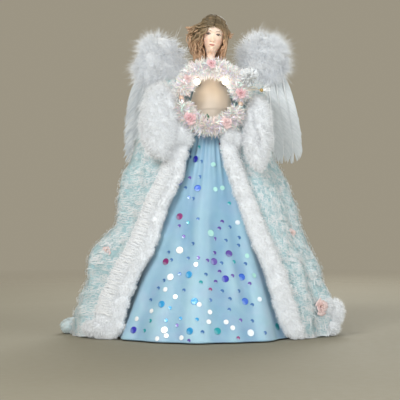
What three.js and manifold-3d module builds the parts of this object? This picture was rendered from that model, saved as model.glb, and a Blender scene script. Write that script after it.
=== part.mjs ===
// Angel tree topper: a dressed figure on a hollow cone, with feather wings and a wreath in its hands.
// Lengths are millimetres. +Z is up, the angel faces -Y and its own left is +X.
// The origin is the centre of the cone's open foot, where the tree's top shoot goes in.
import * as THREE from 'three';
import { mergeVertices } from 'three/addons/utils/BufferGeometryUtils.js';
import Module from 'manifold-3d';

const wasm = await Module();
wasm.setup();

// Driving dimensions

const gap = 0.3;
const overrun = 2;
const weld = 0.0001;

const hoop = { radius: 92, width: 9, height: 3 };
const cone = { height: 240, footInset: 4, topRadius: 19, wall: 1.6 };
const cap = { depth: 8, lip: 4, flange: 3 };
const dowel = { radius: 3, headDepth: 24 };
const torso = { height: 82, radius: 27, wall: 2.2 };
const neck = { radius: 7.5, jawRise: 34 };
const head = { lean: 3, rise: 47, width: 30, depth: 36, height: 43 };
const jaw = { width: 23, depth: 28, height: 30 };
const hair = { cover: 3.4, faceWidth: 21, faceHeight: 29, faceDepth: 13, faceRise: 11 };
const collar = { radius: 19, height: 9 };

const lamp = { spread: 17.5, drop: 12.6, socketRadius: 4.2, socketLength: 20, front: 26 };
const bulb = { baseRadius: 2.6, baseLength: 9, radius: 3.4, length: 13, clearance: 1.2 };
const lead = { radius: 0.8, bend: 20, clipWidth: 8, clipDepth: 5, clipHeight: 10, clipRise: 8 };
const splice = { radius: 3, length: 12, offset: 12, drop: 54 };

const arms = { pivotY: 6.5, pivotDrop: 15.6, wire: 1.2, shoulderSpan: 35, elbowSpan: 60, elbowDrop: 7 };
const sleeve = { start: 26, shoulder: 8, elbow: 11, mouth: 12, flute: 0.8 };
const rightCuff = { centre: 63, width: 46, depth: 30, height: 93, above: 1, front: 41, leanShare: 0.3 };
const leftCuff = { centre: 57, width: 33, depth: 24, height: 92, above: -13, front: 41, leanShare: 0.3 };
const hand = { width: 8, length: 16, height: 10, setBack: 3 };
const hoopWire = { radius: 36, wire: 1.2, front: 44, drop: 33 };
const garland = { radius: 7 };
const rose = { radius: 7.5, depth: 6 };
const ruffle = { radius: 12, depth: 5, outset: 15 };
const leaf = { length: 9, width: 5, thickness: 1, offset: 5 };
const berry = { radius: 3, stem: 0.7, reach: 18, lift: 2.5 };

const skirt = { hemRadius: 112.7, thickness: 1.8, hemRise: 1, hemShift: 10.5, fold: 2.5, overlap: 7 };
const band = { height: 5, thickness: 1.5 };
const coat = {
  height: 322, rightReach: 178, leftReach: 152, frontDepth: 66, backDepth: 121,
  thickness: 2, hemRise: 1, fold: 3.2,
};
const trim = { rightTop: 26, rightFoot: 44, leftTop: 20, leftFoot: 29, thickness: 13 };
const hemTrim = { radius: 7, rise: 8.5, lift: 20, liftShare: 0.18 };
const coatRose = { radius: 8.5, depth: 6 };

const bracket = { width: 31, plate: 3, height: 42, earWidth: 8, earThickness: 2.5, pinOffset: 11 };
const pin = { radius: 1.5, head: 2.8, headHeight: 1.5, clearance: 0.26, standOff: 8 };
const stem = { eye: 4, height: 5.3, thickness: 3, reach: 98, sweep: 5 };
const rightDown = { centre: 64.5, width: 77, depth: 27, height: 88, rise: 12 };
const leftDown = { centre: 66, width: 74, depth: 27, height: 76, rise: 18 };
const feather = { length: 120, width: 27, thickness: 1.4, layer: 3, first: 72, pitch: 9 };

// Segment counts

const segments = { large: 32, bust: 24, medium: 18, face: 16, small: 10, wire: 6 };
const steps = {
  lead: 14, supply: 24, arm: 36, sleeve: 8, trim: 15, hemTrim: 30, coatFront: 11, coatBack: 12,
};
const around = { sleeve: 15, garland: 8, trim: 12, hemTrim: 8, skirt: 60 };

// Shares of the sizes above

const torsoShares = [
  [0, 0.86], [0.18, 0.93], [0.42, 1], [0.57, 0.945], [0.71, 0.83], [0.81, 0.7], [0.895, 0.53],
  [0.955, 0.37], [1, 0.3],
];
const torsoHollowShares = [[0.7, 0.84], [0.42, 1], [0.18, 0.93], [0, 0.86]];
const coatHeightShares = [0, 0.06, 0.14, 0.21, 0.27, 0.33, 0.43, 0.52, 0.62, 0.68, 0.755, 0.87, 0.966, 1];
const rightReachShares = [
  0.96, 0.955, 0.915, 0.86, 0.86, 0.837, 0.657, 0.646, 0.612, 0.545, 0.517, 0.438, 0.337, 0.253,
];
const leftReachShares = [
  0.987, 1, 0.987, 0.908, 0.88, 0.81, 0.724, 0.67, 0.572, 0.5, 0.46, 0.434, 0.368, 0.296,
];
const frontDepthShares = [
  1, 1, 1, 0.97, 0.92, 0.88, 0.79, 0.71, 0.61, 0.575, 0.515, 0.45, 0.4, 0.38,
];
const backDepthShares = [
  1, 0.95, 0.876, 0.81, 0.752, 0.694, 0.603, 0.52, 0.43, 0.38, 0.32, 0.235, 0.198, 0.186,
];
// How far each front edge lies from the middle, as a share of that side's reach at the same height.
const rightEdgeShares = [
  0.6, 0.58, 0.585, 0.555, 0.52, 0.44, 0.475, 0.41, 0.3, 0.3, 0.24, 0.24, 0.24, 0.24,
];
const leftEdgeShares = [
  0.58, 0.52, 0.47, 0.48, 0.45, 0.41, 0.36, 0.28, 0.22, 0.15, 0.12, 0.12, 0.12, 0.12,
];
// Each lock of hair: width, depth and height, then its middle from the skull's axis and chin.
const hairLockShares = [
  [0.73, 0.61, 1.07, -0.77, 0.1, 0.13], [0.67, 0.28, 0.19, -0.87, -0.05, 0.6],
  [0.4, 0.44, 0.88, 0.63, 0.1, 0.14], [0.4, 0.22, 0.14, 0.73, 0, 0.47],
  [1.33, 0.56, 1.07, 0, 0.36, 0.1],
];
const roseShares = [[0, 0], [1, 0], [1, 0.4], [0.72, 0.85], [0, 1]];
const ruffleShares = [[0.8, 0], [1, 0.35], [0.95, 0.8], [0.35, 1]];
const bulbShares = [[1, 0], [1, 0.55], [0.7, 0.82], [0, 1]];
const skirtRiseShares = [0, 0.18, 0.42, 0.66, 0.86, 1];
// How full a trim is at places along its length.
const trimEndShares = { place: [0, 0.07, 0.16, 0.93, 1], size: [0.72, 0.93, 1, 1, 0.7] };
const hemEndShares = { place: [0, 0.03, 0.97, 1], size: [0.6, 1, 1, 0.6] };
// Each curve of a feather's edge, from its root: two pulls and an end, across and down.
const featherEdgeShares = [
  [0.9, 0.2, 1.2, 0.6, 0.9, 0.86], [0.6, 0.98, -0.4, 1, -0.6, 0.95], [-1.3, 0.7, -1, 0.2],
];
// Each rose on the coat: the side, then its place across and up as shares of that side's reach and height.
const coatRoseShares = [[1, 0.89, 0.118], [1, 0.86, 0.394], [-1, 0.86, 0.329]];
const rightTiltShare = 0.55;
const ruffleSeatShare = 0.7;

// Angles, in degrees

const wholeTurn = 360;
const wreathRoseAngles = [225, 301, 8, 142];
const handAngles = { right: 180, left: -12 };
const ruffleAngle = 29;
const berryAngle = 8;
const featherTilts = [4, 6, 8];
const hemTrimTurn = 96;
const coatSpan = { waist: 90, top: 62 };
// The coat's folds: two waves, each with its rate, that start a step apart on the two sides.
const coatWave = { rate: 0.2, second: 0.47, lag: 24, calmFront: 25, calmBack: 15 };

// Levels that follow from the sizes above

const level = {};
level.coneFoot = hoop.height + gap;
level.coneTop = cone.height;
level.torso = level.coneTop + gap + cap.flange + gap;
level.torsoTop = level.torso + torso.height;
level.neck = level.torsoTop + gap;
level.arms = level.torsoTop - arms.pivotDrop;
level.lamps = level.torsoTop - lamp.drop;
level.wreath = level.torsoTop - hoopWire.drop;
level.splice = level.torsoTop - splice.drop + splice.length;

// Geometry helpers

const degrees = Math.PI / 180;
const vector = (x, y, z) => new THREE.Vector3(x, y, z);

// Merges shared corners, drops empty faces and turns the skin to face out.
function closed(geometry) {
  const bare = geometry.index ? geometry.clone() : geometry;
  bare.deleteAttribute('normal');
  bare.deleteAttribute('uv');
  const merged = mergeVertices(bare, weld);
  const source = merged.index.array;
  const kept = [];
  for (let i = 0; i < source.length; i += 3) {
    const [a, b, c] = [source[i], source[i + 1], source[i + 2]];
    if (a !== b && b !== c && c !== a) {
      kept.push(a, b, c);
    }
  }
  const position = merged.attributes.position;
  const corners = [vector(0, 0, 0), vector(0, 0, 0), vector(0, 0, 0)];
  let volume = 0;
  for (let i = 0; i < kept.length; i += 3) {
    corners.forEach((corner, k) => corner.fromBufferAttribute(position, kept[i + k]));
    volume += corners[0].dot(corners[1].clone().cross(corners[2]));
  }
  merged.setIndex(volume < 0 ? kept.reverse() : kept);
  return merged;
}

function solid(geometry) {
  const skin = closed(geometry);
  return new wasm.Manifold(new wasm.Mesh({
    numProp: 3,
    vertProperties: new Float32Array(skin.attributes.position.array),
    triVerts: new Uint32Array(skin.index.array),
  }));
}

function skinOf(body) {
  const mesh = body.getMesh();
  const geometry = new THREE.BufferGeometry();
  geometry.setAttribute('position', new THREE.BufferAttribute(mesh.vertProperties, mesh.numProp));
  geometry.setIndex(new THREE.BufferAttribute(mesh.triVerts, 1));
  return geometry;
}

function cut(target, ...tools) {
  let body = solid(target);
  tools.forEach((tool) => {
    body = body.subtract(solid(tool));
  });
  return skinOf(body);
}

// Cuts and keeps the largest body left, so that what lay behind the tool goes.
function trimmed(target, tool) {
  const pieces = solid(target).subtract(solid(tool)).decompose();
  pieces.sort((a, b) => b.volume() - a.volume());
  return skinOf(pieces[0]);
}

function join(...geometries) {
  let body = solid(geometries[0]);
  geometries.slice(1).forEach((geometry) => {
    body = body.add(solid(geometry));
  });
  return skinOf(body);
}

// Turns a profile of [radius, height] points about +Z.
function turned(profile, sides) {
  const points = profile.map(([radius, height]) => new THREE.Vector2(radius, height));
  return closed(new THREE.LatheGeometry(points, sides).rotateX(Math.PI / 2));
}

function rod(radius, from, to, sides) {
  const span = to.clone().sub(from);
  const geometry = new THREE.CylinderGeometry(radius, radius, span.length(), sides);
  const turn = new THREE.Quaternion().setFromUnitVectors(vector(0, 1, 0), span.clone().normalize());
  geometry.applyQuaternion(turn);
  const middle = from.clone().add(to).divideScalar(2);
  return geometry.translate(middle.x, middle.y, middle.z);
}

function block(low, high) {
  const size = high.clone().sub(low);
  const middle = low.clone().add(high).divideScalar(2);
  return new THREE.BoxGeometry(size.x, size.y, size.z).translate(middle.x, middle.y, middle.z);
}

function ellipsoid(width, depth, height, centre, columns = segments.small, rows = segments.wire) {
  const ball = new THREE.SphereGeometry(1, columns, rows).rotateX(Math.PI / 2);
  return ball.scale(width / 2, depth / 2, height / 2).translate(centre.x, centre.y, centre.z);
}

// A tube along a smooth curve, with flat ends.
function tube(curve, radius, sides, stepCount) {
  const corners = [];
  for (let i = 0; i < sides; i++) {
    const angle = (2 * Math.PI * i) / sides;
    corners.push(new THREE.Vector2(radius * Math.cos(angle), radius * Math.sin(angle)));
  }
  const options = { steps: stepCount, extrudePath: curve, bevelEnabled: false };
  return closed(new THREE.ExtrudeGeometry(new THREE.Shape(corners), options));
}

function pushQuad(index, a, b, c, d) {
  index.push(a, b, c, a, c, d);
}

function skinFrom(points, index) {
  const geometry = new THREE.BufferGeometry();
  const numbers = points.flatMap((p) => [p.x, p.y, p.z]);
  geometry.setAttribute('position', new THREE.BufferAttribute(new Float32Array(numbers), 3));
  geometry.setIndex(index);
  return closed(geometry);
}

// Joins closed rings of equal count, with a fan on each end.
function loft(rings) {
  const count = rings[0].length;
  const points = rings.flat();
  const index = [];
  for (let r = 0; r + 1 < rings.length; r++) {
    for (let i = 0; i < count; i++) {
      const next = (i + 1) % count;
      pushQuad(index, r * count + i, r * count + next, (r + 1) * count + next, (r + 1) * count + i);
    }
  }
  [0, rings.length - 1].forEach((r, end) => {
    const middle = rings[r].reduce((sum, p) => sum.add(p), vector(0, 0, 0)).divideScalar(count);
    points.push(middle);
    for (let i = 0; i < count; i++) {
      const pair = [r * count + ((i + 1) % count), r * count + i];
      index.push(points.length - 1, ...(end ? pair.reverse() : pair));
    }
  });
  return skinFrom(points, index);
}

// Joins rings into a closed band: the last ring meets the first.
function bandLoft(rings) {
  const count = rings[0].length;
  const index = [];
  rings.forEach((ring, r) => {
    const above = (r + 1) % rings.length;
    for (let i = 0; i < count; i++) {
      const next = (i + 1) % count;
      pushQuad(index, r * count + i, r * count + next, above * count + next, above * count + i);
    }
  });
  return skinFrom(rings.flat(), index);
}

// A sheet with thickness between two grids of points, each a list of rows.
function sheet(outer, inner) {
  const rings = outer.map((row, r) => [...row, ...[...inner[r]].reverse()]);
  const count = rings[0].length;
  const width = outer[0].length;
  const index = [];
  for (let r = 0; r + 1 < rings.length; r++) {
    for (let i = 0; i < count; i++) {
      const next = (i + 1) % count;
      pushQuad(index, r * count + i, r * count + next, (r + 1) * count + next, (r + 1) * count + i);
    }
  }
  const last = (rings.length - 1) * count;
  for (let i = 0; i + 1 < width; i++) {
    pushQuad(index, count - 1 - i, count - 2 - i, i + 1, i);
    pushQuad(index, last + i, last + i + 1, last + count - 2 - i, last + count - 1 - i);
  }
  return skinFrom(rings.flat(), index);
}

// Reads a table of values at a place among its keys.
function along(keys, values, place) {
  const last = keys.length - 1;
  const bounded = Math.min(Math.max(place, keys[0]), keys[last]);
  let i = 0;
  while (i < last - 1 && bounded > keys[i + 1]) {
    i += 1;
  }
  const share = (bounded - keys[i]) / (keys[i + 1] - keys[i]);
  return values[i] + (values[i + 1] - values[i]) * share;
}

const blend = (from, to, share) => from + (to - from) * share;

// Finishes

const finishes = {
  moulding: { color: '#e9e2d2', roughness: 0.55, metalness: 0 },
  satin: { color: '#e0c3a2', roughness: 0.4, metalness: 0 },
  wood: { color: '#c9a877', roughness: 0.7, metalness: 0 },
  skin: { color: '#e8b898', roughness: 0.5, metalness: 0 },
  hair: { color: '#7a5c42', roughness: 0.6, metalness: 0 },
  tinsel: { color: '#f2e9ee', roughness: 0.25, metalness: 0.2 },
  ribbon: { color: '#e7a9b4', roughness: 0.5, metalness: 0 },
  ruffle: { color: '#f6f2f2', roughness: 0.6, metalness: 0 },
  leaf: { color: '#2f5a45', roughness: 0.5, metalness: 0 },
  berry: { color: '#cda35b', roughness: 0.3, metalness: 0.6 },
  glass: { color: '#fff0cf', roughness: 0.1, metalness: 0 },
  socket: { color: '#f1efe6', roughness: 0.5, metalness: 0 },
  lead: { color: '#efeee6', roughness: 0.5, metalness: 0 },
  wire: { color: '#b9bcc0', roughness: 0.35, metalness: 0.9 },
  sleeve: { color: '#bfe0ea', roughness: 0.45, metalness: 0 },
  plush: { color: '#f4f5f8', roughness: 0.95, metalness: 0 },
  skirt: { color: '#92c9e3', roughness: 0.4, metalness: 0 },
  lace: { color: '#cfe4e8', roughness: 0.7, metalness: 0 },
  down: { color: '#eff1f6', roughness: 0.95, metalness: 0 },
  feather: { color: '#e9edf2', roughness: 0.7, metalness: 0 },
};

const group = new THREE.Group();

function add(name, geometry, finish) {
  const mesh = new THREE.Mesh(closed(geometry), new THREE.MeshStandardMaterial(finishes[finish]));
  mesh.name = name;
  group.add(mesh);
  return mesh;
}

// Foot, cone and cap

const coneFootRadius = hoop.radius - cone.footInset;
const coneSlope = (coneFootRadius - cone.topRadius) / (level.coneTop - level.coneFoot);

const coneInside = (z) => coneFootRadius - cone.wall - (z - level.coneFoot) * coneSlope;

function makeHoop() {
  const inside = hoop.radius - hoop.width;
  return turned([
    [inside, 0], [hoop.radius, 0], [hoop.radius, hoop.height], [inside, hoop.height], [inside, 0],
  ], segments.large);
}

function makeCone() {
  return turned([
    [coneFootRadius, level.coneFoot],
    [cone.topRadius, level.coneTop],
    [cone.topRadius - cone.wall, level.coneTop],
    [coneFootRadius - cone.wall, level.coneFoot],
    [coneFootRadius, level.coneFoot],
  ], segments.large);
}

function makeCap(leadTool) {
  const bore = dowel.radius + gap;
  const plug = cone.topRadius - cone.wall - gap;
  const flange = cone.topRadius + cap.lip;
  const seat = level.coneTop + gap;
  const top = seat + cap.flange;
  const body = turned([
    [bore, level.coneTop - cap.depth], [plug, level.coneTop - cap.depth], [plug, seat],
    [flange, seat], [flange, top], [bore, top], [bore, level.coneTop - cap.depth],
  ], segments.medium);
  return cut(body, leadTool);
}

// Bust

const torsoRadiusAt = (z) => torso.radius * along(
  torsoShares.map((pair) => pair[0]), torsoShares.map((pair) => pair[1]), (z - level.torso) / torso.height);

function makeTorso(tools) {
  const bore = dowel.radius + gap;
  const outer = torsoShares.map(([rise, width]) => [
    width * torso.radius, level.torso + rise * torso.height,
  ]);
  const hollow = torsoHollowShares.map(
    ([rise, width]) => [width * torso.radius - torso.wall, level.torso + rise * torso.height]);
  const roof = hollow[0][1];
  const profile = [...outer, [bore, level.torsoTop], [bore, roof], ...hollow, outer[0]];
  return cut(turned(profile, segments.bust), ...tools);
}

function makeDowel() {
  const foot = level.coneTop - cap.depth;
  return turned([
    [0, foot], [dowel.radius, foot], [dowel.radius, level.neck + dowel.headDepth],
    [0, level.neck + dowel.headDepth],
  ], segments.small);
}

// Head and hair: an egg-shaped skull with a smaller jaw, on a straight neck.

const skullCentre = vector(head.lean, head.lean / 3, level.neck + head.rise);

function headBody(grow) {
  const jawCentre = vector(head.lean, -jaw.depth / 9, level.neck + neck.jawRise + head.lean / 2);
  const skull = ellipsoid(head.width + 2 * grow, head.depth + 2 * grow, head.height + 2 * grow,
    skullCentre, segments.face, segments.small);
  const chin = ellipsoid(jaw.width + 2 * grow, jaw.depth + 2 * grow, jaw.height + 2 * grow,
    jawCentre, segments.face, segments.small);
  const neckTop = vector(head.lean, head.lean / 2, jawCentre.z);
  const throat = rod(neck.radius + grow, vector(0, 0, level.neck), neckTop, segments.medium);
  return join(skull, chin, throat);
}

function makeHead() {
  const below = vector(0, 0, level.neck - overrun);
  const boreTop = vector(0, 0, level.neck + dowel.headDepth + gap);
  const bore = rod(dowel.radius + gap, below, boreTop, segments.small);
  const floor = vector(torso.radius, torso.radius, level.neck);
  const under = block(vector(-torso.radius, -torso.radius, level.neck - torso.radius), floor);
  return cut(headBody(0), bore, under);
}

function makeHair() {
  const cover = hair.cover;
  const crown = skullCentre.clone().add(vector(0, cover / 2, cover));
  const wig = ellipsoid(head.width + 2 * cover, head.depth + 2 * cover, head.height + cover,
    crown, segments.face, segments.small);
  const low = skullCentre.z - head.height / 2;
  const locks = hairLockShares.map(([width, depth, height, x, y, z]) => ellipsoid(
    width * head.width, depth * head.depth, height * head.height,
    vector(head.lean + x * head.width, y * head.depth, low + z * head.height)));
  const face = ellipsoid(hair.faceWidth, hair.faceDepth * 2, hair.faceHeight,
    vector(head.lean, -head.depth / 2, low + hair.faceRise));
  const floor = level.neck + collar.height + gap;
  const reach = 2 * head.width;
  const under = block(vector(-reach, -reach, floor - reach), vector(reach, reach, floor));
  return cut(join(wig, ...locks), headBody(gap), face, under);
}

function makeCollar() {
  const inside = neck.radius + head.lean / 3 + gap;
  const foot = level.torsoTop + gap;
  const top = foot + collar.height - gap;
  const middle = (foot + top) / 2;
  return turned([
    [inside, foot], [blend(inside, collar.radius, 0.6), foot], [collar.radius, blend(foot, middle, 0.6)],
    [collar.radius * 0.9, middle], [blend(inside, collar.radius, 0.3), top], [inside, top], [inside, foot],
  ], segments.medium);
}

// Lamps, sockets and leads

const lampAxis = (side) => vector(side * lamp.spread, 0, level.lamps);
const socketFrontY = -lamp.front;
const socketBackY = socketFrontY + lamp.socketLength;

const onLamp = (side, y) => lampAxis(side).setY(y);

function socketBody(side, grow) {
  return rod(lamp.socketRadius + grow, onLamp(side, socketFrontY - grow),
    onLamp(side, socketBackY + grow), segments.small * 2);
}

function makeSocket(side) {
  const bore = rod(bulb.baseRadius + gap, onLamp(side, socketFrontY - overrun),
    onLamp(side, socketFrontY + bulb.baseLength + gap), segments.small);
  return cut(socketBody(side, 0), bore);
}

// The bulb's axis is +Z here, with its base below zero.
function bulbBody() {
  const lens = bulbShares.map(([width, rise]) => [width * bulb.radius, gap + rise * bulb.length]);
  return turned([
    [0, -bulb.baseLength], [bulb.baseRadius, -bulb.baseLength], [bulb.baseRadius, gap], ...lens,
  ], segments.small);
}

function leadCurve(side) {
  const start = onLamp(side, socketBackY + gap);
  const half = splice.radius / 2;
  return new THREE.CatmullRomCurve3([
    start,
    start.clone().add(vector(0, 3, 0)),
    vector(side * 14, 2, level.lamps - 7),
    vector(side * 9, 7, level.lamps - 16),
    vector(side * 3.5, 11, level.splice + 8),
    vector(side * half, splice.offset, level.splice + gap),
  ], false, 'centripetal');
}

function supplyCurve() {
  const clipTop = level.coneFoot + lead.clipRise + lead.clipHeight;
  const wallGap = lead.clipDepth / 2 + gap;
  const byWall = (z) => vector(0, coneInside(z) - wallGap, z);
  return new THREE.CatmullRomCurve3([
    vector(0, splice.offset, level.splice - splice.length - gap),
    vector(0, splice.offset, level.torso),
    vector(0, splice.offset, level.coneTop - cap.depth),
    byWall(level.coneTop - lead.bend),
    byWall(level.coneTop / 2),
    byWall(clipTop + lead.clipHeight),
    byWall(clipTop).setZ(clipTop + gap),
  ], false, 'centripetal');
}

function makeClip() {
  const foot = level.coneFoot + lead.clipRise;
  const top = foot + lead.clipHeight;
  const front = coneInside(top) * Math.cos(Math.PI / segments.large) - gap;
  return block(vector(-lead.clipWidth / 2, front - lead.clipDepth, foot),
    vector(lead.clipWidth / 2, front, top));
}

// Arms: one bent wire that turns in the bust's cross bore

const ringPoint = (degreesUp, radius, y) => vector(
  radius * Math.cos(degreesUp * degrees), y, level.wreath + radius * Math.sin(degreesUp * degrees));

const handPoint = (side) => ringPoint(
  side < 0 ? handAngles.right : handAngles.left, hoopWire.radius, -hoopWire.front + hand.setBack);

function armPoints(side) {
  const grip = handPoint(side);
  const wrist = grip.clone().setY(grip.y + hand.length / 2 - overrun);
  const bore = torsoRadiusAt(level.arms);
  return [
    wrist,
    wrist.clone().add(vector(side * hand.setBack, hand.length / 2, 0)),
    vector(side * blend(Math.abs(grip.x), arms.elbowSpan, 0.6), blend(grip.y, arms.pivotY, 0.6),
      blend(grip.z, level.arms - arms.elbowDrop, 0.5)),
    vector(side * arms.elbowSpan, arms.pivotY - sleeve.elbow / 2, level.arms - arms.elbowDrop),
    vector(side * blend(arms.elbowSpan, arms.shoulderSpan, 0.4), arms.pivotY, level.arms - arms.wire),
    vector(side * arms.shoulderSpan, arms.pivotY, level.arms),
    vector(side * bore, arms.pivotY, level.arms),
  ];
}

const armCurve = new THREE.CatmullRomCurve3(
  [...armPoints(-1), ...armPoints(1).reverse()], false, 'centripetal');

// The rings turn evenly from the shoulder to the wrist, so that they never cross inside the elbow.
function sleeveBody(side, grow) {
  const rings = [];
  const flutes = 5;
  const [from, to] = sleeveSpan(side);
  const shoulderWay = armCurve.getTangentAt(from);
  const wristWay = armCurve.getTangentAt(to);
  for (let i = 0; i <= steps.sleeve; i++) {
    const share = i / steps.sleeve;
    const place = blend(from, to, share);
    const middle = armCurve.getPointAt(place);
    const ahead = shoulderWay.clone().lerp(wristWay, share).normalize();
    const across = vector(0, 0, 1).cross(ahead).normalize();
    const up = ahead.clone().cross(across).normalize();
    const wide = along([0, 0.6, 1], [sleeve.shoulder, sleeve.elbow, sleeve.mouth], share) + grow;
    const ring = [];
    for (let k = 0; k < around.sleeve; k++) {
      const angle = (2 * Math.PI * k) / around.sleeve;
      const radius = wide + sleeve.flute * Math.cos(flutes * angle) * share;
      ring.push(middle.clone().addScaledVector(across, radius * Math.cos(angle))
        .addScaledVector(up, radius * Math.sin(angle)));
    }
    rings.push(ring);
  }
  return loft(rings);
}

// Shares of the arm wire's length where a sleeve starts and ends, from the shoulder outwards.
function sleeveSpan(side) {
  const length = armCurve.getLength();
  const middle = 0.5;
  const start = sleeve.start / length;
  const wrist = (hand.length + hand.setBack * 2) / length;
  return side < 0 ? [middle - start, wrist] : [middle + start, 1 - wrist];
}

const armTool = tube(armCurve, arms.wire + gap, segments.wire, steps.arm);

// Wreath

function hoopBody(grow) {
  const ring = new THREE.TorusGeometry(hoopWire.radius, hoopWire.wire + grow, segments.wire, 24);
  return ring.rotateX(Math.PI / 2).translate(0, -hoopWire.front, level.wreath);
}

function handBody(side, grow) {
  const grip = handPoint(side);
  return ellipsoid(hand.width + 2 * grow, hand.length + 2 * grow, hand.height + 2 * grow, grip);
}

const handHalfAngle = Math.asin(
  (hand.height / 2 + 1.5 * gap) / (hoopWire.radius - garland.radius)) / degrees;

function garlandArc(from, to) {
  const rings = [];
  const stepTurn = 10;
  const count = Math.round((to - from) / stepTurn);
  for (let i = 0; i <= count; i++) {
    const turn = blend(from, to, i / count);
    const ring = [];
    for (let k = 0; k < around.garland; k++) {
      const angle = (2 * Math.PI * k) / around.garland;
      ring.push(ringPoint(turn, hoopWire.radius + garland.radius * Math.cos(angle),
        -hoopWire.front + garland.radius * Math.sin(angle)));
    }
    rings.push(ring);
  }
  return loft(rings);
}

function lampSlot(side) {
  const wide = bulb.radius + bulb.clearance;
  const back = socketBackY;
  const front = -hoopWire.front - garland.radius - overrun;
  const pass = rod(wide, onLamp(side, back), onLamp(side, front), segments.small * 2);
  const fall = garland.radius * 2;
  const low = vector(side * lamp.spread - wide, front, level.lamps - fall);
  const high = vector(side * lamp.spread + wide, back, level.lamps);
  return join(pass, block(low, high));
}

function makeGarlandUpper() {
  const arc = garlandArc(handAngles.left + handHalfAngle, handAngles.right - handHalfAngle);
  return cut(arc, hoopBody(gap), lampSlot(-1), lampSlot(1));
}

function makeGarlandLower() {
  const arc = garlandArc(handAngles.right + handHalfAngle, handAngles.left + wholeTurn - handHalfAngle);
  return cut(arc, hoopBody(gap));
}

// A cuff hangs from the forearm as an egg that leans forward towards its foot.
function cuffBody(side, size) {
  const top = level.arms + size.above;
  const middle = vector(0, 0, 0);
  const egg = ellipsoid(size.width, size.depth, size.height, middle, segments.face, segments.small);
  egg.applyMatrix4(new THREE.Matrix4().makeShear(0, 0, 0, 0, 0, size.leanShare));
  return egg.translate(side * size.centre, -size.front, top - size.height / 2);
}

function makeCuff(side, size) {
  const reach = size.width;
  const limit = hoopWire.radius + garland.radius + gap;
  const inner = block(vector(side < 0 ? -limit : 0, -reach * 2, level.wreath - garland.radius * 2),
    vector(side < 0 ? 0 : limit, reach, level.torsoTop));
  return cut(cuffBody(side, size), sleeveBody(side, gap), armTool, handBody(side, gap), inner);
}

function makeRose(size) {
  return turned(roseShares.map(([width, rise]) => [width * size.radius, rise * size.depth]), segments.small);
}

function makeRuffle() {
  const lobes = 9;
  const lobeShare = 0.1;
  const sides = lobes * 3;
  const rings = ruffleShares.map(([width, rise]) => {
    const ring = [];
    for (let k = 0; k < sides; k++) {
      const angle = (2 * Math.PI * k) / sides;
      const wave = 1 + lobeShare * Math.cos(lobes * angle);
      const radius = width * wave * ruffle.radius;
      ring.push(vector(radius * Math.cos(angle), radius * Math.sin(angle), rise * ruffle.depth));
    }
    return ring;
  });
  return loft(rings);
}

function makeLeaf() {
  const half = leaf.width / 2;
  const shape = new THREE.Shape();
  shape.moveTo(0, 0);
  shape.quadraticCurveTo(half * 2, leaf.length / 2, 0, leaf.length);
  shape.quadraticCurveTo(-half * 2, leaf.length / 2, 0, 0);
  const blade = new THREE.ExtrudeGeometry(shape, {
    depth: leaf.thickness, bevelEnabled: false, curveSegments: segments.wire,
  });
  return blade.rotateX(Math.PI / 2);
}

function makeBerry() {
  const outside = hoopWire.radius + garland.radius + gap;
  const root = ringPoint(berryAngle, outside, -hoopWire.front);
  const tip = root.clone().add(vector(berry.reach, -berry.radius, berry.lift));
  const middle = root.clone().lerp(tip, 0.5).add(vector(0, -berry.radius / 2, berry.lift));
  const curve = new THREE.CatmullRomCurve3([root, middle, tip]);
  const across = berry.radius * 2;
  const bead = ellipsoid(across, across, across, tip, segments.small, segments.wire);
  return join(tube(curve, berry.stem, segments.wire, segments.wire), bead);
}

// Skirt: a gathered cone with soft flutes that deepen to the hem

const skirtTop = level.torso + skirt.overlap;
const skirtTopRadius = torsoRadiusAt(skirtTop) + gap + skirt.thickness + gap;

function skirtPoint(angle, rise, inset) {
  const flutes = 15;
  const swells = 8;
  const swellShare = 0.45;
  const z = blend(skirt.hemRise, skirtTop, rise);
  const fall = 1 - rise;
  const cosine = Math.cos(angle);
  const wave = Math.cos(flutes * angle + 0.8) + swellShare * Math.cos(swells * angle + 2.1);
  const radius = blend(skirtTopRadius, skirt.hemRadius, fall) - skirt.hemShift * fall * cosine
    + skirt.fold * wave * fall - inset;
  return vector(radius * cosine, radius * Math.sin(angle), z);
}

function makeSkirt() {
  const ringAt = (rise, inset) => {
    const ring = [];
    for (let i = 0; i < around.skirt; i++) {
      ring.push(skirtPoint((2 * Math.PI * i) / around.skirt, rise, inset));
    }
    return ring;
  };
  const outer = skirtRiseShares.map((rise) => ringAt(rise, 0));
  const inner = skirtRiseShares.map((rise) => ringAt(rise, skirt.thickness)).reverse();
  return bandLoft([...outer, ...inner]);
}

function makeBand() {
  const top = skirtTop;
  const foot = top - band.height;
  const slope = (skirt.hemRadius - skirtTopRadius) / (skirtTop - skirt.hemRise);
  const inside = skirtTopRadius + slope * band.height + 2 * gap + skirt.fold / 20;
  const outside = inside + band.thickness;
  return turned([
    [inside, foot], [outside, foot], [outside, top], [inside, top], [inside, foot],
  ], segments.large);
}

// Coat: an open cape whose plan is a rounded oval, wider to the angel's right

const coatShape = (z) => {
  const share = z / coat.height;
  const at = (values) => along(coatHeightShares, values, share);
  const waistShare = coatHeightShares[10];
  const upper = Math.min(Math.max((share - waistShare) / (coatHeightShares[11] - waistShare), 0), 1);
  return {
    right: coat.rightReach * at(rightReachShares),
    left: coat.leftReach * at(leftReachShares),
    front: coat.frontDepth * at(frontDepthShares),
    back: coat.backDepth * at(backDepthShares),
    rightEdge: at(rightEdgeShares),
    leftEdge: at(leftEdgeShares),
    power: 2 / blend(2, 5, upper),
    span: blend(coatSpan.waist, coatSpan.top, upper),
    upper,
    fall: 1 - share,
  };
};

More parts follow.
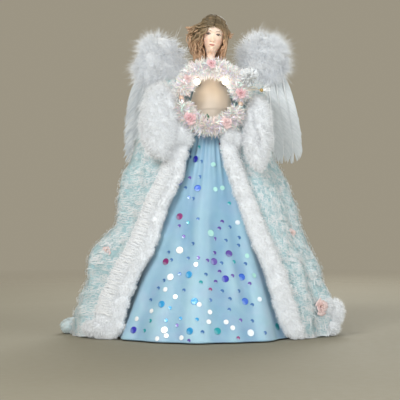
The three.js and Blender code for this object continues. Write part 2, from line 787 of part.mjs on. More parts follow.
// The turn is in degrees from the front: 0 is -Y, 90 is the side, 180 is the back.
function coatPoint(side, turn, z, offset) {
  const shape = coatShape(z);
  const reach = side < 0 ? shape.right : shape.left;
  const depth = turn > wholeTurn / 4 ? shape.back : shape.front;
  const sine = Math.abs(Math.sin(turn * degrees));
  const cosine = Math.cos(turn * degrees);
  const outX = sine ** shape.power;
  const outY = Math.abs(cosine) ** shape.power;
  const normal = vector(sine / reach, (-Math.sign(cosine) * Math.abs(cosine)) / depth, 0).normalize();
  const lag = side < 0 ? 0 : coatWave.lag;
  const wave = Math.sin((turn + lag) * coatWave.rate) + 0.4 * Math.sin(turn * coatWave.second + side);
  const fromFront = Math.min(Math.max((turn - frontTurn(side, z)) / coatWave.calmFront, 0), 1);
  const fromBack = Math.min((wholeTurn / 2 - turn) / coatWave.calmBack, 1);
  const move = offset + coat.fold * wave * fromFront * fromBack * shape.fall * (1 - shape.upper);
  return vector(
    side * (outX * reach + normal.x * move),
    -Math.sign(cosine) * outY * depth + normal.y * move,
    z,
  );
}

function frontTurn(side, z) {
  const shape = coatShape(z);
  return Math.asin(side < 0 ? shape.rightEdge : shape.leftEdge) / degrees;
}

const coatRowHeights = coatHeightShares.map((share) => Math.max(share * coat.height, coat.hemRise));

function coatGrid(side, turns, heights, offset) {
  return heights.map((z) => turns(z).map((turn) => coatPoint(side, turn, z, offset)));
}

const trimWidth = (side, z) => {
  const share = z / level.coneTop;
  return side < 0 ? blend(trim.rightFoot, trim.rightTop, share) : blend(trim.leftFoot, trim.leftTop, share);
};

// The angle across the front over which a width of trim lies.
function trimTurn(side, z, widthShare) {
  const shape = coatShape(z);
  const reach = side < 0 ? shape.right : shape.left;
  const edge = (side < 0 ? shape.rightEdge : shape.leftEdge) * reach;
  return Math.asin(Math.min((edge + widthShare * trimWidth(side, z)) / reach, 0.97)) / degrees;
}

function makeCoatFront(side, grow) {
  const heights = coatRowHeights.filter((z) => z <= level.torso);
  const seam = (z) => wholeTurn / 4 - gap / (coatShape(z).back * degrees);
  const turns = (z) => {
    const list = [];
    for (let i = 0; i <= steps.coatFront; i++) {
      list.push(blend(trimTurn(side, z, 0.5), seam(z), i / steps.coatFront));
    }
    return list;
  };
  return sheet(coatGrid(side, turns, heights, coat.thickness / 2 + grow),
    coatGrid(side, turns, heights, -coat.thickness / 2 - grow));
}

function makeCoatBack() {
  const back = wholeTurn / 2;
  const rowAt = (z, offset) => {
    const row = [];
    const from = back - coatShape(z).span;
    for (let i = 0; i < steps.coatBack; i++) {
      row.push(coatPoint(-1, blend(from, back, i / steps.coatBack), z, offset));
    }
    for (let i = steps.coatBack; i >= 0; i--) {
      row.push(coatPoint(1, blend(from, back, i / steps.coatBack), z, offset));
    }
    return row;
  };
  const outer = coatRowHeights.map((z) => rowAt(z, coat.thickness / 2));
  const inner = coatRowHeights.map((z) => rowAt(z, -coat.thickness / 2));
  return sheet(outer, inner);
}

// The direction square to the cloth, its flare counted too.
function coatFacing(side, turn, z) {
  const turnStep = 1;
  const here = coatPoint(side, turn, z, 0);
  const ahead = coatPoint(side, turn + turnStep, z, 0).sub(here);
  const above = coatPoint(side, turn, z + gap, 0).sub(here);
  return ahead.cross(above).multiplyScalar(side).normalize();
}

function coatNormal(side, turn, z) {
  const here = coatPoint(side, turn, z, 0);
  return coatPoint(side, turn, z, gap).sub(here).normalize();
}

function makeTrim(side) {
  const rings = [];
  const top = level.torso;
  const foot = coat.hemRise;
  for (let i = 0; i <= steps.trim; i++) {
    const share = i / steps.trim;
    const z = blend(foot, top, share);
    const turn = trimTurn(side, z, 0.5);
    const normal = coatNormal(side, turn, z);
    const across = vector(0, 0, 1).cross(normal).normalize();
    const end = along(trimEndShares.place, trimEndShares.size, share);
    const lift = coat.thickness / 2 + gap * 3 + trim.thickness / 2;
    const middle = coatPoint(side, turn, z, lift);
    const ring = [];
    for (let k = 0; k < around.trim; k++) {
      const angle = (2 * Math.PI * k) / around.trim;
      const wide = (trimWidth(side, z) / 2) * end;
      const deep = (trim.thickness / 2) * end;
      ring.push(middle.clone().addScaledVector(across, wide * Math.cos(angle))
        .addScaledVector(normal, deep * Math.sin(angle)));
    }
    rings.push(ring);
  }
  return loft(rings);
}

function makeHemTrim() {
  const rings = [];
  const seat = (coat.thickness + coat.fold) / 2 + gap * 2;
  for (let i = 0; i <= steps.hemTrim; i++) {
    const share = i / steps.hemTrim;
    const turn = blend(hemTrimTurn, wholeTurn - hemTrimTurn, share);
    const side = turn <= wholeTurn / 2 ? -1 : 1;
    const local = side < 0 ? turn : wholeTurn - turn;
    const z = hemTrim.rise + hemTrim.lift * Math.max(share - 1 + hemTrim.liftShare, 0) / hemTrim.liftShare;
    const normal = coatNormal(side, local, z);
    const radius = hemTrim.radius * along(hemEndShares.place, hemEndShares.size, share);
    const middle = coatPoint(side, local, z, seat + hemTrim.radius);
    const ring = [];
    for (let k = 0; k < around.hemTrim; k++) {
      const angle = (2 * Math.PI * k) / around.hemTrim;
      ring.push(middle.clone().addScaledVector(normal, radius * Math.cos(angle))
        .add(vector(0, 0, radius * Math.sin(angle))));
    }
    rings.push(ring);
  }
  return loft(rings);
}

// Wings

const eyeFoot = level.torsoTop + stem.height;
const eyeTop = eyeFoot + stem.height;
const bracketTop = eyeTop + gap + bracket.earThickness;
const wingPlateY = coatShape(bracketTop - bracket.height).back + coat.thickness / 2 + gap;
const wingPinY = wingPlateY + bracket.plate + pin.standOff;

function makeBracket() {
  const half = bracket.width / 2;
  const top = bracketTop;
  const plate = block(vector(-half, wingPlateY, top - bracket.height),
    vector(half, wingPlateY + bracket.plate, top));
  const ears = [];
  const bores = [];
  [-1, 1].forEach((side) => {
    const x = side * bracket.pinOffset;
    const wide = bracket.earWidth / 2;
    [top - bracket.earThickness, eyeFoot - gap - bracket.earThickness].forEach((foot) => {
      ears.push(block(vector(x - wide, wingPlateY + bracket.plate / 2, foot),
        vector(x + wide, wingPinY + wide, foot + bracket.earThickness)));
    });
    bores.push(rod(pin.radius + gap, vector(x, wingPinY, eyeFoot - gap - bracket.earThickness - overrun),
      vector(x, wingPinY, top + overrun), segments.medium));
  });
  return cut(join(plate, ...ears), ...bores);
}

function makePin(side) {
  const foot = eyeFoot - gap - bracket.earThickness - gap;
  const seat = eyeTop + gap + bracket.earThickness + gap;
  const body = turned([
    [0, foot], [pin.radius, foot], [pin.radius, seat], [pin.head, seat],
    [pin.head, seat + pin.headHeight], [0, seat + pin.headHeight],
  ], segments.medium);
  return body.translate(side * bracket.pinOffset, wingPinY, 0);
}

function stemBody(side, grow) {
  const from = vector(side * (bracket.pinOffset + stem.eye / 2), wingPinY, eyeFoot);
  const to = vector(side * stem.reach, wingPinY + stem.sweep, eyeFoot);
  const length = from.distanceTo(to) + grow;
  const body = new THREE.BoxGeometry(length, stem.thickness + 2 * grow, stem.height + 2 * grow);
  body.translate(length / 2, 0, stem.height / 2);
  const turn = Math.atan2(to.y - from.y, to.x - from.x);
  return body.rotateZ(turn).translate(from.x, from.y, eyeFoot);
}

function makeStem(side) {
  const middle = vector(side * bracket.pinOffset, wingPinY, eyeFoot);
  const top = middle.clone().setZ(eyeTop);
  const eye = rod(stem.eye, middle, top, segments.medium);
  const bore = rod(pin.radius + pin.clearance, middle.clone().setZ(eyeFoot - overrun),
    top.clone().setZ(eyeTop + overrun), segments.medium);
  return cut(join(stemBody(side, 0), eye), bore);
}

// A feather hangs along -Z from its root at the origin, its vane in the XZ plane.
function featherBody(grow) {
  const half = feather.width / 2 + grow;
  const length = feather.length + grow;
  const shape = new THREE.Shape();
  shape.moveTo(-feather.thickness, grow);
  shape.lineTo(feather.thickness, grow);
  featherEdgeShares.forEach((shares) => {
    const points = shares.map((share, i) => (i % 2 ? -share * length : share * half));
    const back = points.length < 6 ? [-feather.thickness, grow] : [];
    shape.bezierCurveTo(...points, ...back);
  });
  const vane = new THREE.ExtrudeGeometry(shape, {
    depth: feather.thickness + 2 * grow, bevelEnabled: false, curveSegments: segments.wire,
  });
  return vane.translate(0, 0, -feather.thickness / 2 - grow).rotateX(Math.PI / 2);
}

function featherPlace(side, number) {
  const x = side * (feather.first + feather.pitch * number);
  const y = wingPinY + stem.sweep / 2 + feather.layer * (number - 1);
  const tilt = featherTilts[number] * (side < 0 ? rightTiltShare : 1);
  const place = new THREE.Matrix4().makeRotationY(-side * tilt * degrees);
  return place.setPosition(x, y, eyeFoot - gap);
}

function makeDown(side, size) {
  const middle = vector(side * size.centre, wingPinY + stem.sweep / 2, eyeFoot + size.rise);
  const puff = ellipsoid(size.width, size.depth, size.height, middle, segments.medium, segments.small);
  const tools = featherTilts.map((_, number) => featherBody(gap).applyMatrix4(featherPlace(side, number)));
  return cut(puff, stemBody(side, gap), ...tools);
}

// Assembly

const supplyTool = tube(supplyCurve(), lead.radius + gap, segments.wire, steps.supply);
const crossBore = rod(arms.wire + gap, vector(-torso.radius, arms.pivotY, level.arms),
  vector(torso.radius, arms.pivotY, level.arms), segments.small * 2);

add('base_hoop', makeHoop(), 'moulding');
add('base_cone', makeCone(), 'moulding');
add('cone_cap', makeCap(supplyTool), 'moulding');
add('neck_dowel', makeDowel(), 'wood');
add('torso', makeTorso([
  crossBore, socketBody(-1, gap), socketBody(1, gap),
  tube(leadCurve(-1), lead.radius + gap, segments.wire, steps.lead),
  tube(leadCurve(1), lead.radius + gap, segments.wire, steps.lead),
]), 'satin');
add('head', makeHead(), 'skin');
add('hair', makeHair(), 'hair');
add('collar_garland', makeCollar(), 'tinsel');

const sides = [['right', -1], ['left', 1]];
sides.forEach(([name, side]) => {
  add(`${name}_lamp_socket`, makeSocket(side), 'socket');
  add(`${name}_lamp_lead`, tube(leadCurve(side), lead.radius, segments.wire, steps.lead), 'lead');
  const lens = add(`${name}_lamp`, bulbBody(), 'glass');
  lens.position.copy(onLamp(side, socketFrontY));
  lens.rotation.x = Math.PI / 2;
});
add('lead_splice', rod(splice.radius, vector(0, splice.offset, level.splice - splice.length),
  vector(0, splice.offset, level.splice), segments.small), 'socket');
add('supply_lead', tube(supplyCurve(), lead.radius, segments.wire, steps.supply), 'lead');
add('lead_clip', makeClip(), 'moulding');

add('arm_wire', tube(armCurve, arms.wire, segments.wire, steps.arm), 'wire');
add('wreath_hoop', hoopBody(0), 'wire');
add('garland_upper', makeGarlandUpper(), 'tinsel');
add('garland_lower', makeGarlandLower(), 'tinsel');
sides.forEach(([name, side]) => {
  add(`${name}_hand`, cut(handBody(side, 0), hoopBody(gap), armTool), 'skin');
  add(`${name}_sleeve`, cut(sleeveBody(side, 0), armTool), 'sleeve');
  add(`${name}_cuff`, makeCuff(side, side < 0 ? rightCuff : leftCuff), 'plush');
});
wreathRoseAngles.forEach((angle, number) => {
  const flower = add(`wreath_rose_${number + 1}`, makeRose(rose), 'ribbon');
  flower.position.copy(ringPoint(angle, hoopWire.radius, -hoopWire.front - garland.radius - gap));
  flower.rotation.x = Math.PI / 2;
});
const frill = add('wreath_ruffle', makeRuffle(), 'ruffle');
frill.position.copy(ringPoint(
  ruffleAngle, hoopWire.radius + ruffle.outset, -hoopWire.front - garland.radius * ruffleSeatShare - gap));
frill.rotation.x = Math.PI / 2;
const foliage = add('wreath_leaf', makeLeaf(), 'leaf');
foliage.position.copy(vector(
  -leaf.offset, -hoopWire.front, level.wreath - hoopWire.radius + garland.radius + 2 * gap));
add('berry_pick', makeBerry(), 'berry');

add('skirt', makeSkirt(), 'skirt');
add('waist_band', makeBand(), 'skirt');
add('coat_back', makeCoatBack(), 'lace');
sides.forEach(([name, side]) => {
  add(`${name}_coat_front`, makeCoatFront(side, 0), 'lace');
  add(`${name}_coat_trim`, makeTrim(side), 'plush');
});
add('coat_hem_trim', makeHemTrim(), 'plush');
coatRoseShares.forEach(([side, widthShare, heightShare], number) => {
  const turn = Math.asin(widthShare) / degrees;
  const z = heightShare * coat.height;
  const normal = coatFacing(side, turn, z);
  const seat = coatPoint(side, turn, z, 0).addScaledVector(normal, coat.thickness / 2 + gap);
  const flower = makeRose(coatRose);
  flower.applyQuaternion(new THREE.Quaternion().setFromUnitVectors(vector(0, 0, 1), normal));
  flower.translate(seat.x, seat.y, seat.z);
  add(`coat_rose_${number + 1}`, trimmed(flower, makeCoatFront(side, gap)), 'ribbon');
});

add('wing_bracket', makeBracket(), 'moulding');
sides.forEach(([name, side]) => {
  add(`${name}_wing_pin`, makePin(side), 'wire');
  add(`${name}_wing_stem`, makeStem(side), 'wire');
  add(`${name}_wing_down`, makeDown(side, side < 0 ? rightDown : leftDown), 'down');
  featherTilts.forEach((_, number) => {
    const plume = add(`${name}_feather_${number + 1}`, featherBody(0), 'feather');
    featherPlace(side, number).decompose(plume.position, plume.quaternion, plume.scale);
  });
});

export default group;
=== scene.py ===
# Angel tree topper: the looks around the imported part. Metres, in the part's own frame.
# The angel faces -Y and its own left is +X, which is the right side of the picture.
import functools
import math

import bpy
import numpy as np
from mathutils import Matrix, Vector
from mathutils.bvhtree import BVHTree


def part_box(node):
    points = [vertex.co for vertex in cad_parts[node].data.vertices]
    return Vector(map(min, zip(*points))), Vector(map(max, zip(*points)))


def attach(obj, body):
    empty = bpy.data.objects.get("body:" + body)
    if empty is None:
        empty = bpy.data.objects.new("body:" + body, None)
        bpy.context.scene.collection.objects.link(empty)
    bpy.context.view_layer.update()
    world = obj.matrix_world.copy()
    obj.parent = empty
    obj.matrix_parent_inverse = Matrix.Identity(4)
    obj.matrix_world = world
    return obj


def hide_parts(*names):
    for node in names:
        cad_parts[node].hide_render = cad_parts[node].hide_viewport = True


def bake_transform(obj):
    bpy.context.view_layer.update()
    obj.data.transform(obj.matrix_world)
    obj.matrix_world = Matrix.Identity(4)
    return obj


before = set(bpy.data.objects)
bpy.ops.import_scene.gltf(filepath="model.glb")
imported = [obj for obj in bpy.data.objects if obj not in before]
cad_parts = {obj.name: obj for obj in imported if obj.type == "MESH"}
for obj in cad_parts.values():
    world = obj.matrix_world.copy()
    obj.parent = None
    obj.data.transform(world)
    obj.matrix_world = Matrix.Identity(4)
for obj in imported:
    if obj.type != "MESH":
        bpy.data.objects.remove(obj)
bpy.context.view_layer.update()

MM = 0.001
TURN = math.tau
FLOOR_CLEARANCE = 0.3 * MM
SIDES = (("right", -1), ("left", 1))
rng = np.random.default_rng(24)

# Camera, as the photograph was taken

CAMERA_AT = Vector((-0.0137, -1.717, 0.168))
PICTURE_SIDE = 400
FOCAL_PIXELS = 1379
SENSOR = 36


def ink(red, green, blue):
    """A screen colour, 0 to 255, as linear light."""
    return tuple(((c / 255 + 0.055) / 1.055) ** 2.4 if c > 10 else c / 3294 for c in (red, green, blue))


INKS = {
    "white": ink(248, 249, 250), "snow": ink(238, 241, 245), "shade": ink(216, 222, 230),
    "cream": ink(240, 234, 220), "aqua": ink(184, 214, 219), "aqua_deep": ink(152, 194, 204),
    "aqua_light": ink(212, 230, 233), "quill": ink(206, 211, 214), "quill_light": ink(238, 240, 242),
    "quill_shade": ink(186, 193, 200), "glow": ink(255, 226, 176),
    "satin": ink(140, 180, 206), "satin_light": ink(172, 206, 222), "satin_deep": ink(84, 134, 172),
    "satin_pink": ink(148, 164, 202), "satin_green": ink(140, 186, 198),
    "peach": ink(244, 220, 212), "champagne": ink(212, 201, 188), "tan": ink(197, 184, 169),
    "skin": ink(250, 220, 199), "skin_deep": ink(214, 168, 148), "blush": ink(230, 158, 142),
    "lips": ink(188, 96, 92), "eye_white": ink(230, 222, 212), "iris": ink(84, 58, 38),
    "pupil": ink(24, 18, 16), "lash": ink(66, 44, 34), "brow": ink(126, 92, 66),
    "olive": ink(84, 73, 52), "brown": ink(134, 114, 84), "auburn": ink(206, 167, 134),
    "russet": ink(222, 186, 154),
    "gold": ink(186, 156, 96), "silver": ink(214, 220, 226), "green": ink(46, 92, 54),
    "pink": ink(232, 166, 178), "pink_pale": ink(238, 204, 202), "pink_light": ink(244, 214, 214),
    "lilac": ink(214, 200, 230), "mint": ink(206, 232, 224),
    "indigo": ink(46, 44, 176), "royal": ink(28, 92, 200), "cyan": ink(26, 150, 210),
    "teal": ink(18, 156, 168), "violet": ink(92, 66, 160), "magenta": ink(138, 36, 112),
    "pearl": ink(232, 240, 250), "sea": ink(168, 222, 214), "slate": ink(62, 112, 172),
    "wood": ink(188, 158, 112), "black": ink(38, 40, 44), "board": ink(206, 200, 186),
    "floor": ink(146, 140, 123), "wall": ink(142, 136, 119),
}

# Small tools for arrays


def unit(rows):
    return rows / np.maximum(np.linalg.norm(rows, axis=-1, keepdims=True), 1e-12)


def smooth_step(low, high, value):
    share = np.clip((value - low) / (high - low), 0, 1)
    return share * share * (3 - 2 * share)


def bump_at(offset, width):
    return np.exp(-0.5 * (offset / width) ** 2)


def soften(grid, width, axis=0, wrap=False):
    """Blurs a grid along one axis, over a width in steps."""
    reach = int(3 * width) + 1
    weights = bump_at(np.arange(-reach, reach + 1), width)
    pad = [(0, 0)] * grid.ndim
    pad[axis] = (reach, reach)
    padded = np.pad(grid, pad, mode="wrap" if wrap else "edge")
    blur = lambda row: np.convolve(row, weights / weights.sum(), "valid")
    return np.apply_along_axis(blur, axis, padded)


def smoothed(radii, around, up):
    """Blurs radii round the figure and then up it."""
    return soften(soften(radii, around, 1, True), up)


def waves(places, length, count=14):
    """Smooth noise of that wavelength, about -1 to 1, over rows of places."""
    places = np.asarray(places, float)
    ways = unit(rng.normal(size=(count, places.shape[-1])))
    ways *= TURN / length * rng.uniform(0.6, 1.5, (count, 1))
    return np.sin(places @ ways.T + rng.uniform(0, TURN, count)).sum(-1) / math.sqrt(count)


def drifts(places, length):
    """Smooth noise in all three directions."""
    return np.stack([waves(places, length) for _ in range(3)], -1)


def circle(count):
    return np.linspace(0, TURN, count + 1)[:-1]


def path_shares(count):
    """Shares from 0 to 1 along a path, one row to a step."""
    return np.linspace(0, 1, count)[:, None]


def bent(start, knee, end, share):
    """Places on a curve that is drawn towards its knee."""
    return start * (1 - share) ** 2 + 2 * knee * share * (1 - share) + end * share ** 2


def read_rows(at, keys, rows):
    """Rows read between the keys that they belong to."""
    return np.stack([np.interp(at, keys, column) for column in rows.T], -1)


def tinted(paths, red, green=0.9, blue=0.0):
    """A tint for each place on some paths."""
    tints = np.empty(paths.shape)
    tints[..., 0], tints[..., 1], tints[..., 2] = red, green, blue
    return tints


def over(base, colour, amount):
    """Lays a colour, given by name or as rows, over a base."""
    base = np.asarray(base)
    colour = np.array(INKS[colour] if isinstance(colour, str) else colour)
    return base + (colour - base) * np.clip(amount, 0, 1)[..., None]


def turned_about(rows, axis, angle):
    """Rows turned about unit axes by angles."""
    cosine, sine = np.cos(angle)[..., None], np.sin(angle)[..., None]
    along = (rows * axis).sum(-1, keepdims=True) * axis
    return rows * cosine + np.cross(axis, rows) * sine + along * (1 - cosine)


def flat_out(normals, ways):
    """Sideways rows that turn a blade's flat side outwards."""
    return unit(np.cross(normals, ways) + 0.25 * rng.normal(size=ways.shape))


def side_of(ways):
    """A unit row square to each unit row."""
    return unit(np.cross(ways, rng.normal(size=ways.shape)))


def grid_faces(rows, columns, wrap=False):
    """Four-cornered faces between the points of a grid, row by row."""
    r, c = np.meshgrid(np.arange(rows - 1), np.arange(columns if wrap else columns - 1), indexing="ij")
    after = (c + 1) % columns
    low, high = r * columns, (r + 1) * columns
    return np.stack([low + c, low + after, high + after, high + c], -1).reshape(-1, 4)


# Pieces

PLAIN_TINT = (0.5, 0.5, 0.5)
# Half widths of the flat strips, then how thick the cloths are, in mm
WIDTHS = {"cord": 0.24, "shag": 0.34, "pile": 0.22, "down": 0.17, "vane": 0.62, "afterdown": 0.25,
          "tinsel": 0.58, "loop": 0.8, "fringe": 0.5, "spike": 0.3}
THICKNESSES = {"skirt": 0.5, "coat": 0.6, "bodice": 0.6, "band": 0.5, "frill": 0.2, "leaf": 0.25,
               "petal": 0.15}


def put(name, data):
    """Stands an object with that data in the scene."""
    made = bpy.data.objects.new(name, data)
    bpy.context.scene.collection.objects.link(made)
    return made


class Heap:
    """Gathers points, four-cornered faces and a tint per point, and makes them one mesh."""

    def __init__(self):
        self.points, self.faces, self.tints, self.count = [], [], [], 0

    def add(self, points, faces, tint=PLAIN_TINT):
        points = np.asarray(points, float).reshape(-1, 3)
        self.points.append(points)
        self.faces.append(np.asarray(faces, int).reshape(-1, 4) + self.count)
        self.tints.append(np.broadcast_to(np.asarray(tint, float).reshape(-1, 3), points.shape))
        self.count += len(points)
        return self

    def grid(self, points, tint=PLAIN_TINT, wrap=False):
        return self.add(points, grid_faces(*points.shape[:2], wrap), tint)

    def sweep(self, points, tints, wrap):
        """Copies with the same faces: points are (copies, steps, corners, 3), tints (copies, steps, 3)."""
        copies, steps, corners = points.shape[:3]
        starts = np.arange(copies)[:, None, None] * steps * corners
        shades = np.broadcast_to(tints, (copies, steps, 3))[:, :, None].repeat(corners, 2)
        self.add(points, grid_faces(steps, corners, wrap) + starts, shades)

    def strips(self, kind, paths, taper, tints, sides):
        """Flat ribbons of one kind along paths (copies, steps, 3), with sideways rows."""
        half = sides * np.broadcast_to(WIDTHS[kind] * MM * np.array(taper), paths.shape[:2])[..., None]
        self.sweep(np.stack([paths - half, paths + half], 2), tints, False)

    def tubes(self, paths, radii, ups, tints, around=5, flat=1.0):
        """Round or flattened tubes along paths (copies, steps, 3)."""
        ahead = unit(np.gradient(paths, axis=1))
        across = unit(np.cross(ahead, np.broadcast_to(ups, paths.shape)))[:, :, None]
        up = np.cross(across, ahead[:, :, None]) * flat
        cosine, sine = (wave(circle(around))[:, None] for wave in (np.cos, np.sin))
        out = (across * cosine + up * sine) * np.broadcast_to(radii, paths.shape[:2])[..., None, None]
        self.sweep(paths[:, :, None] + out, tints, True)

    def mesh(self, name, material, lowest=-1.0):
        points, faces, tints = (np.concatenate(rows) for rows in (self.points, self.faces, self.tints))
        points[:, 2] = np.maximum(points[:, 2], lowest)
        colours = np.concatenate([tints, np.ones((len(tints), 1))], 1)
        mesh = bpy.data.meshes.new(name)
        mesh.vertices.add(len(points))
        mesh.vertices.foreach_set("co", points.astype(np.float32).ravel())
        mesh.loops.add(faces.size)
        mesh.loops.foreach_set("vertex_index", faces.astype(np.int32).ravel())
        mesh.polygons.add(len(faces))
        mesh.polygons.foreach_set("loop_start", np.arange(0, faces.size, 4, dtype=np.int32))
        mesh.update(calc_edges=True)
        mesh.polygons.foreach_set("use_smooth", np.full(len(faces), True))
        tint = mesh.attributes.new("tint", "FLOAT_COLOR", "POINT")
        tint.data.foreach_set("color", colours.astype(np.float32).ravel())
        mesh.materials.append(material)
        return put(name, mesh)

    def piece(self, name, slot, finish, body=None, replaces=(), cloth=None):
        """One piece of the angel, kept off the floor, in place of some CAD nodes."""
        made = self.mesh(name, FINISHES[finish], FLOOR_CLEARANCE)
        if replaces:
            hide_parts(*replaces)
        if cloth:
            made.modifiers.new("thickness", "SOLIDIFY").thickness = THICKNESSES[cloth] * MM
        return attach(made, body) if body else made


# Reading the frame


def read(items, field, width, kind):
    """One property of all items, as rows."""
    flat = np.empty(len(items) * width, kind)
    items.foreach_get(field, flat)
    return flat.reshape(-1, width)


def node_skin(*nodes):
    """The points of some CAD nodes, and their triangles as rows of three."""
    points, corners, count = [], [], 0
    for node in nodes:
        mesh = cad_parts[node].data
        mesh.calc_loop_triangles()
        points.append(read(mesh.vertices, "co", 3, np.float32).astype(float))
        corners.append(read(mesh.loop_triangles, "vertices", 3, np.int32) + count)
        count += len(mesh.vertices)
    return np.concatenate(points), np.concatenate(corners)


def tree_of(*nodes):
    points, corners = node_skin(*nodes)
    return BVHTree.FromPolygons(points.tolist(), corners.tolist())


@functools.cache
def box_of(node):
    low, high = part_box(node)
    return np.array(low), np.array(high)


def middle_of(node):
    return np.mean(box_of(node), 0)


def rounded_skin(node, levels=1):
    """A CAD node's skin, rounded off by subdivision, as points and four-cornered faces."""
    points, corners = node_skin(node)
    mesh = bpy.data.meshes.new("rounding")
    mesh.from_pydata(points.tolist(), [], corners.tolist())
    body = put("rounding", mesh)
    body.modifiers.new("weld", "WELD").merge_threshold = 0.01 * MM
    body.modifiers.new("round", "SUBSURF").levels = levels
    shaped = body.evaluated_get(bpy.context.evaluated_depsgraph_get()).data
    points = read(shaped.vertices, "co", 3, np.float32).astype(float)
    faces = read(shaped.loops, "vertex_index", 1, np.int32).reshape(-1, 4)
    bpy.data.objects.remove(body)
    bpy.data.meshes.remove(mesh)
    return points, faces


def soft_normals(points, faces):
    """The soft normals of a skin's points, and a row square to each face, twice its area long."""
    corners = points[faces]
    square = np.cross(corners[:, 2] - corners[:, 0], corners[:, 3] - corners[:, 1])
    normals = np.zeros_like(points)
    for k in range(4):
        np.add.at(normals, faces[:, k], square)
    return unit(normals), square


def swollen(points, faces, by):
    """Moves a skin out along its soft normals."""
    return points + soft_normals(points, faces)[0] * np.asarray(by).reshape(-1, 1)


def scattered(points, faces, count):
    """Random places on a skin of four-cornered faces, with its soft normals there."""
    normals, square = soft_normals(points, faces)
    size = np.linalg.norm(square, axis=1)
    pick = faces[rng.choice(len(faces), count, p=size / size.sum())]
    a, b = rng.random((2, count, 1))
    mix = lambda q: (q[:, 0] * (1 - a) + q[:, 1] * a) * (1 - b) + (q[:, 3] * (1 - a) + q[:, 2] * a) * b
    return mix(points[pick]), unit(mix(normals[pick]))


# Finishes


class Finish:
    """A procedural material round one Principled shader. A plain value is set, a node's output linked."""

    def __init__(self, name):
        self.material = bpy.data.materials.new(name)
        self.material.use_nodes = True
        self.tree = self.material.node_tree
        self.shader = self.tree.nodes["Principled BSDF"]
        self.place = self.tree.nodes.new("ShaderNodeTexCoord").outputs["Object"]

    def feed(self, node, values):
        """Feeds a node's sockets, by place or by name."""
        for key, value in values.items():
            socket = node.inputs[key.replace("_", " ") if isinstance(key, str) else key]
            if isinstance(value, bpy.types.NodeSocket):
                self.tree.links.new(value, socket)
            else:
                socket.default_value = (*value, 1) if isinstance(value, tuple) else value
        return node

    def node(self, kind, places=None, **values):
        return self.feed(self.tree.nodes.new("ShaderNode" + kind), {**(places or {}), **values})

    def set(self, **values):
        self.feed(self.shader, values)
        return self

    def noise(self, scale, detail=3.0, **values):
        return self.node("TexNoise", Vector=self.place, Scale=scale, Detail=detail, **values).outputs["Fac"]

    def tint(self, channel=None):
        attribute = self.node("Attribute")
        attribute.attribute_name = "tint"
        colour = attribute.outputs["Color"]
        return self.node("SeparateColor", {0: colour}).outputs[channel] if channel else colour

    def math(self, kind, a, b):
        made = self.node("Math", {0: a, 1: b})
        made.operation = kind
        return made.outputs[0]

    def ramp(self, factor, colours, low=0.0, high=1.0):
        ramp = self.node("ValToRGB", Fac=factor)
        stops = ramp.color_ramp.elements
        while len(stops) < len(colours):
            stops.new(0.5)
        for stop, place, colour in zip(stops, np.linspace(low, high, len(colours)), colours):
            stop.position, stop.color = float(place), (*INKS[colour], 1)
        return ramp.outputs["Color"]

    def mixed(self, factor, a, b, kind="MIX"):
        mix = self.node("Mix")
        mix.data_type, mix.blend_type = "RGBA", kind
        return self.feed(mix, {0: factor, 6: a, 7: b}).outputs[2]

    def rough(self, low, high, scale):
        spread = self.node("MapRange", Value=self.noise(scale), From_Min=0.3, From_Max=0.7, To_Min=low,
                           To_Max=high)
        return self.set(Roughness=spread.outputs[0])

    def relief(self, height, strength, distance):
        bump = self.node("Bump", Height=height, Strength=strength, Distance=distance)
        return self.set(Normal=bump.outputs[0])


def grained(name, colours, grain, rough, relief_scale, relief=0.3, depth=0.3, **sockets):
    """A finish whose colours follow a noise, with a fine relief."""
    made = Finish(name)
    made.set(Base_Color=made.ramp(made.noise(grain), colours, 0.3, 0.7), **sockets)
    made.rough(*rough, relief_scale * 0.5)
    made.relief(made.noise(relief_scale, 4.0), relief, depth * MM)
    return made.material


def stranded(name, colours, rough, spread=0.25, grain=400, foot_share=0.25, painted_glow=0.0, glow=0.0, **sockets):
    """A finish for loose strands. The tint's red picks the colour. Its green darkens the foot, as painted
    shade where the strands crowd, and on the hair it gives each lock its own tone. Its blue paints the
    lamps' warm light on what is near them, as a glow, and the strands may glow faintly in their own colour:
    painted light for light scattered through them."""
    made = Finish(name)
    jitter = made.math("MULTIPLY", made.math("SUBTRACT", made.noise(grain), 0.5), spread)
    colour = made.ramp(made.math("ADD", made.tint("Red"), jitter), colours)
    # Painted shade: the green darkens the strands' feet (on the hair a tone that differs from lock to lock)
    foot = made.math("ADD", made.math("MULTIPLY", made.tint("Green"), foot_share), 1 - foot_share)
    grey = made.node("CombineColor", {0: foot, 1: foot, 2: foot}).outputs[0]
    dimmed = made.mixed(1.0, colour, grey, "MULTIPLY")
    made.set(Base_Color=dimmed, **sockets)
    # Painted light: a warm glow near the lamps, and a faint glow in the strands' own colour
    if glow:
        near = made.tint("Blue")
        made.set(Emission_Color=made.mixed(near, dimmed, INKS["glow"]),
                 Emission_Strength=made.math("ADD", made.math("MULTIPLY", near, glow), painted_glow))
    elif painted_glow:
        made.set(Emission_Color=dimmed, Emission_Strength=painted_glow)
    made.rough(*rough, grain)
    made.relief(made.noise(grain * 3), 0.15, 0.1 * MM)
    return made.material


def painted(name, rough, relief_scale, relief=0.2, shade=0.12, **sockets):
    """A finish whose colour is the piece's own tint, with a slight mottle."""
    made = Finish(name)
    mottle = made.ramp(made.noise(160), ["white", "shade"], 0.35, 0.7)
    mottled = made.mixed(1.0, made.tint(), mottle, "MULTIPLY")
    made.set(Base_Color=made.mixed(shade, made.tint(), mottled), **sockets)
    made.rough(*rough, relief_scale)
    made.relief(made.noise(relief_scale, 4.0), relief, 0.2 * MM)
    return made.material


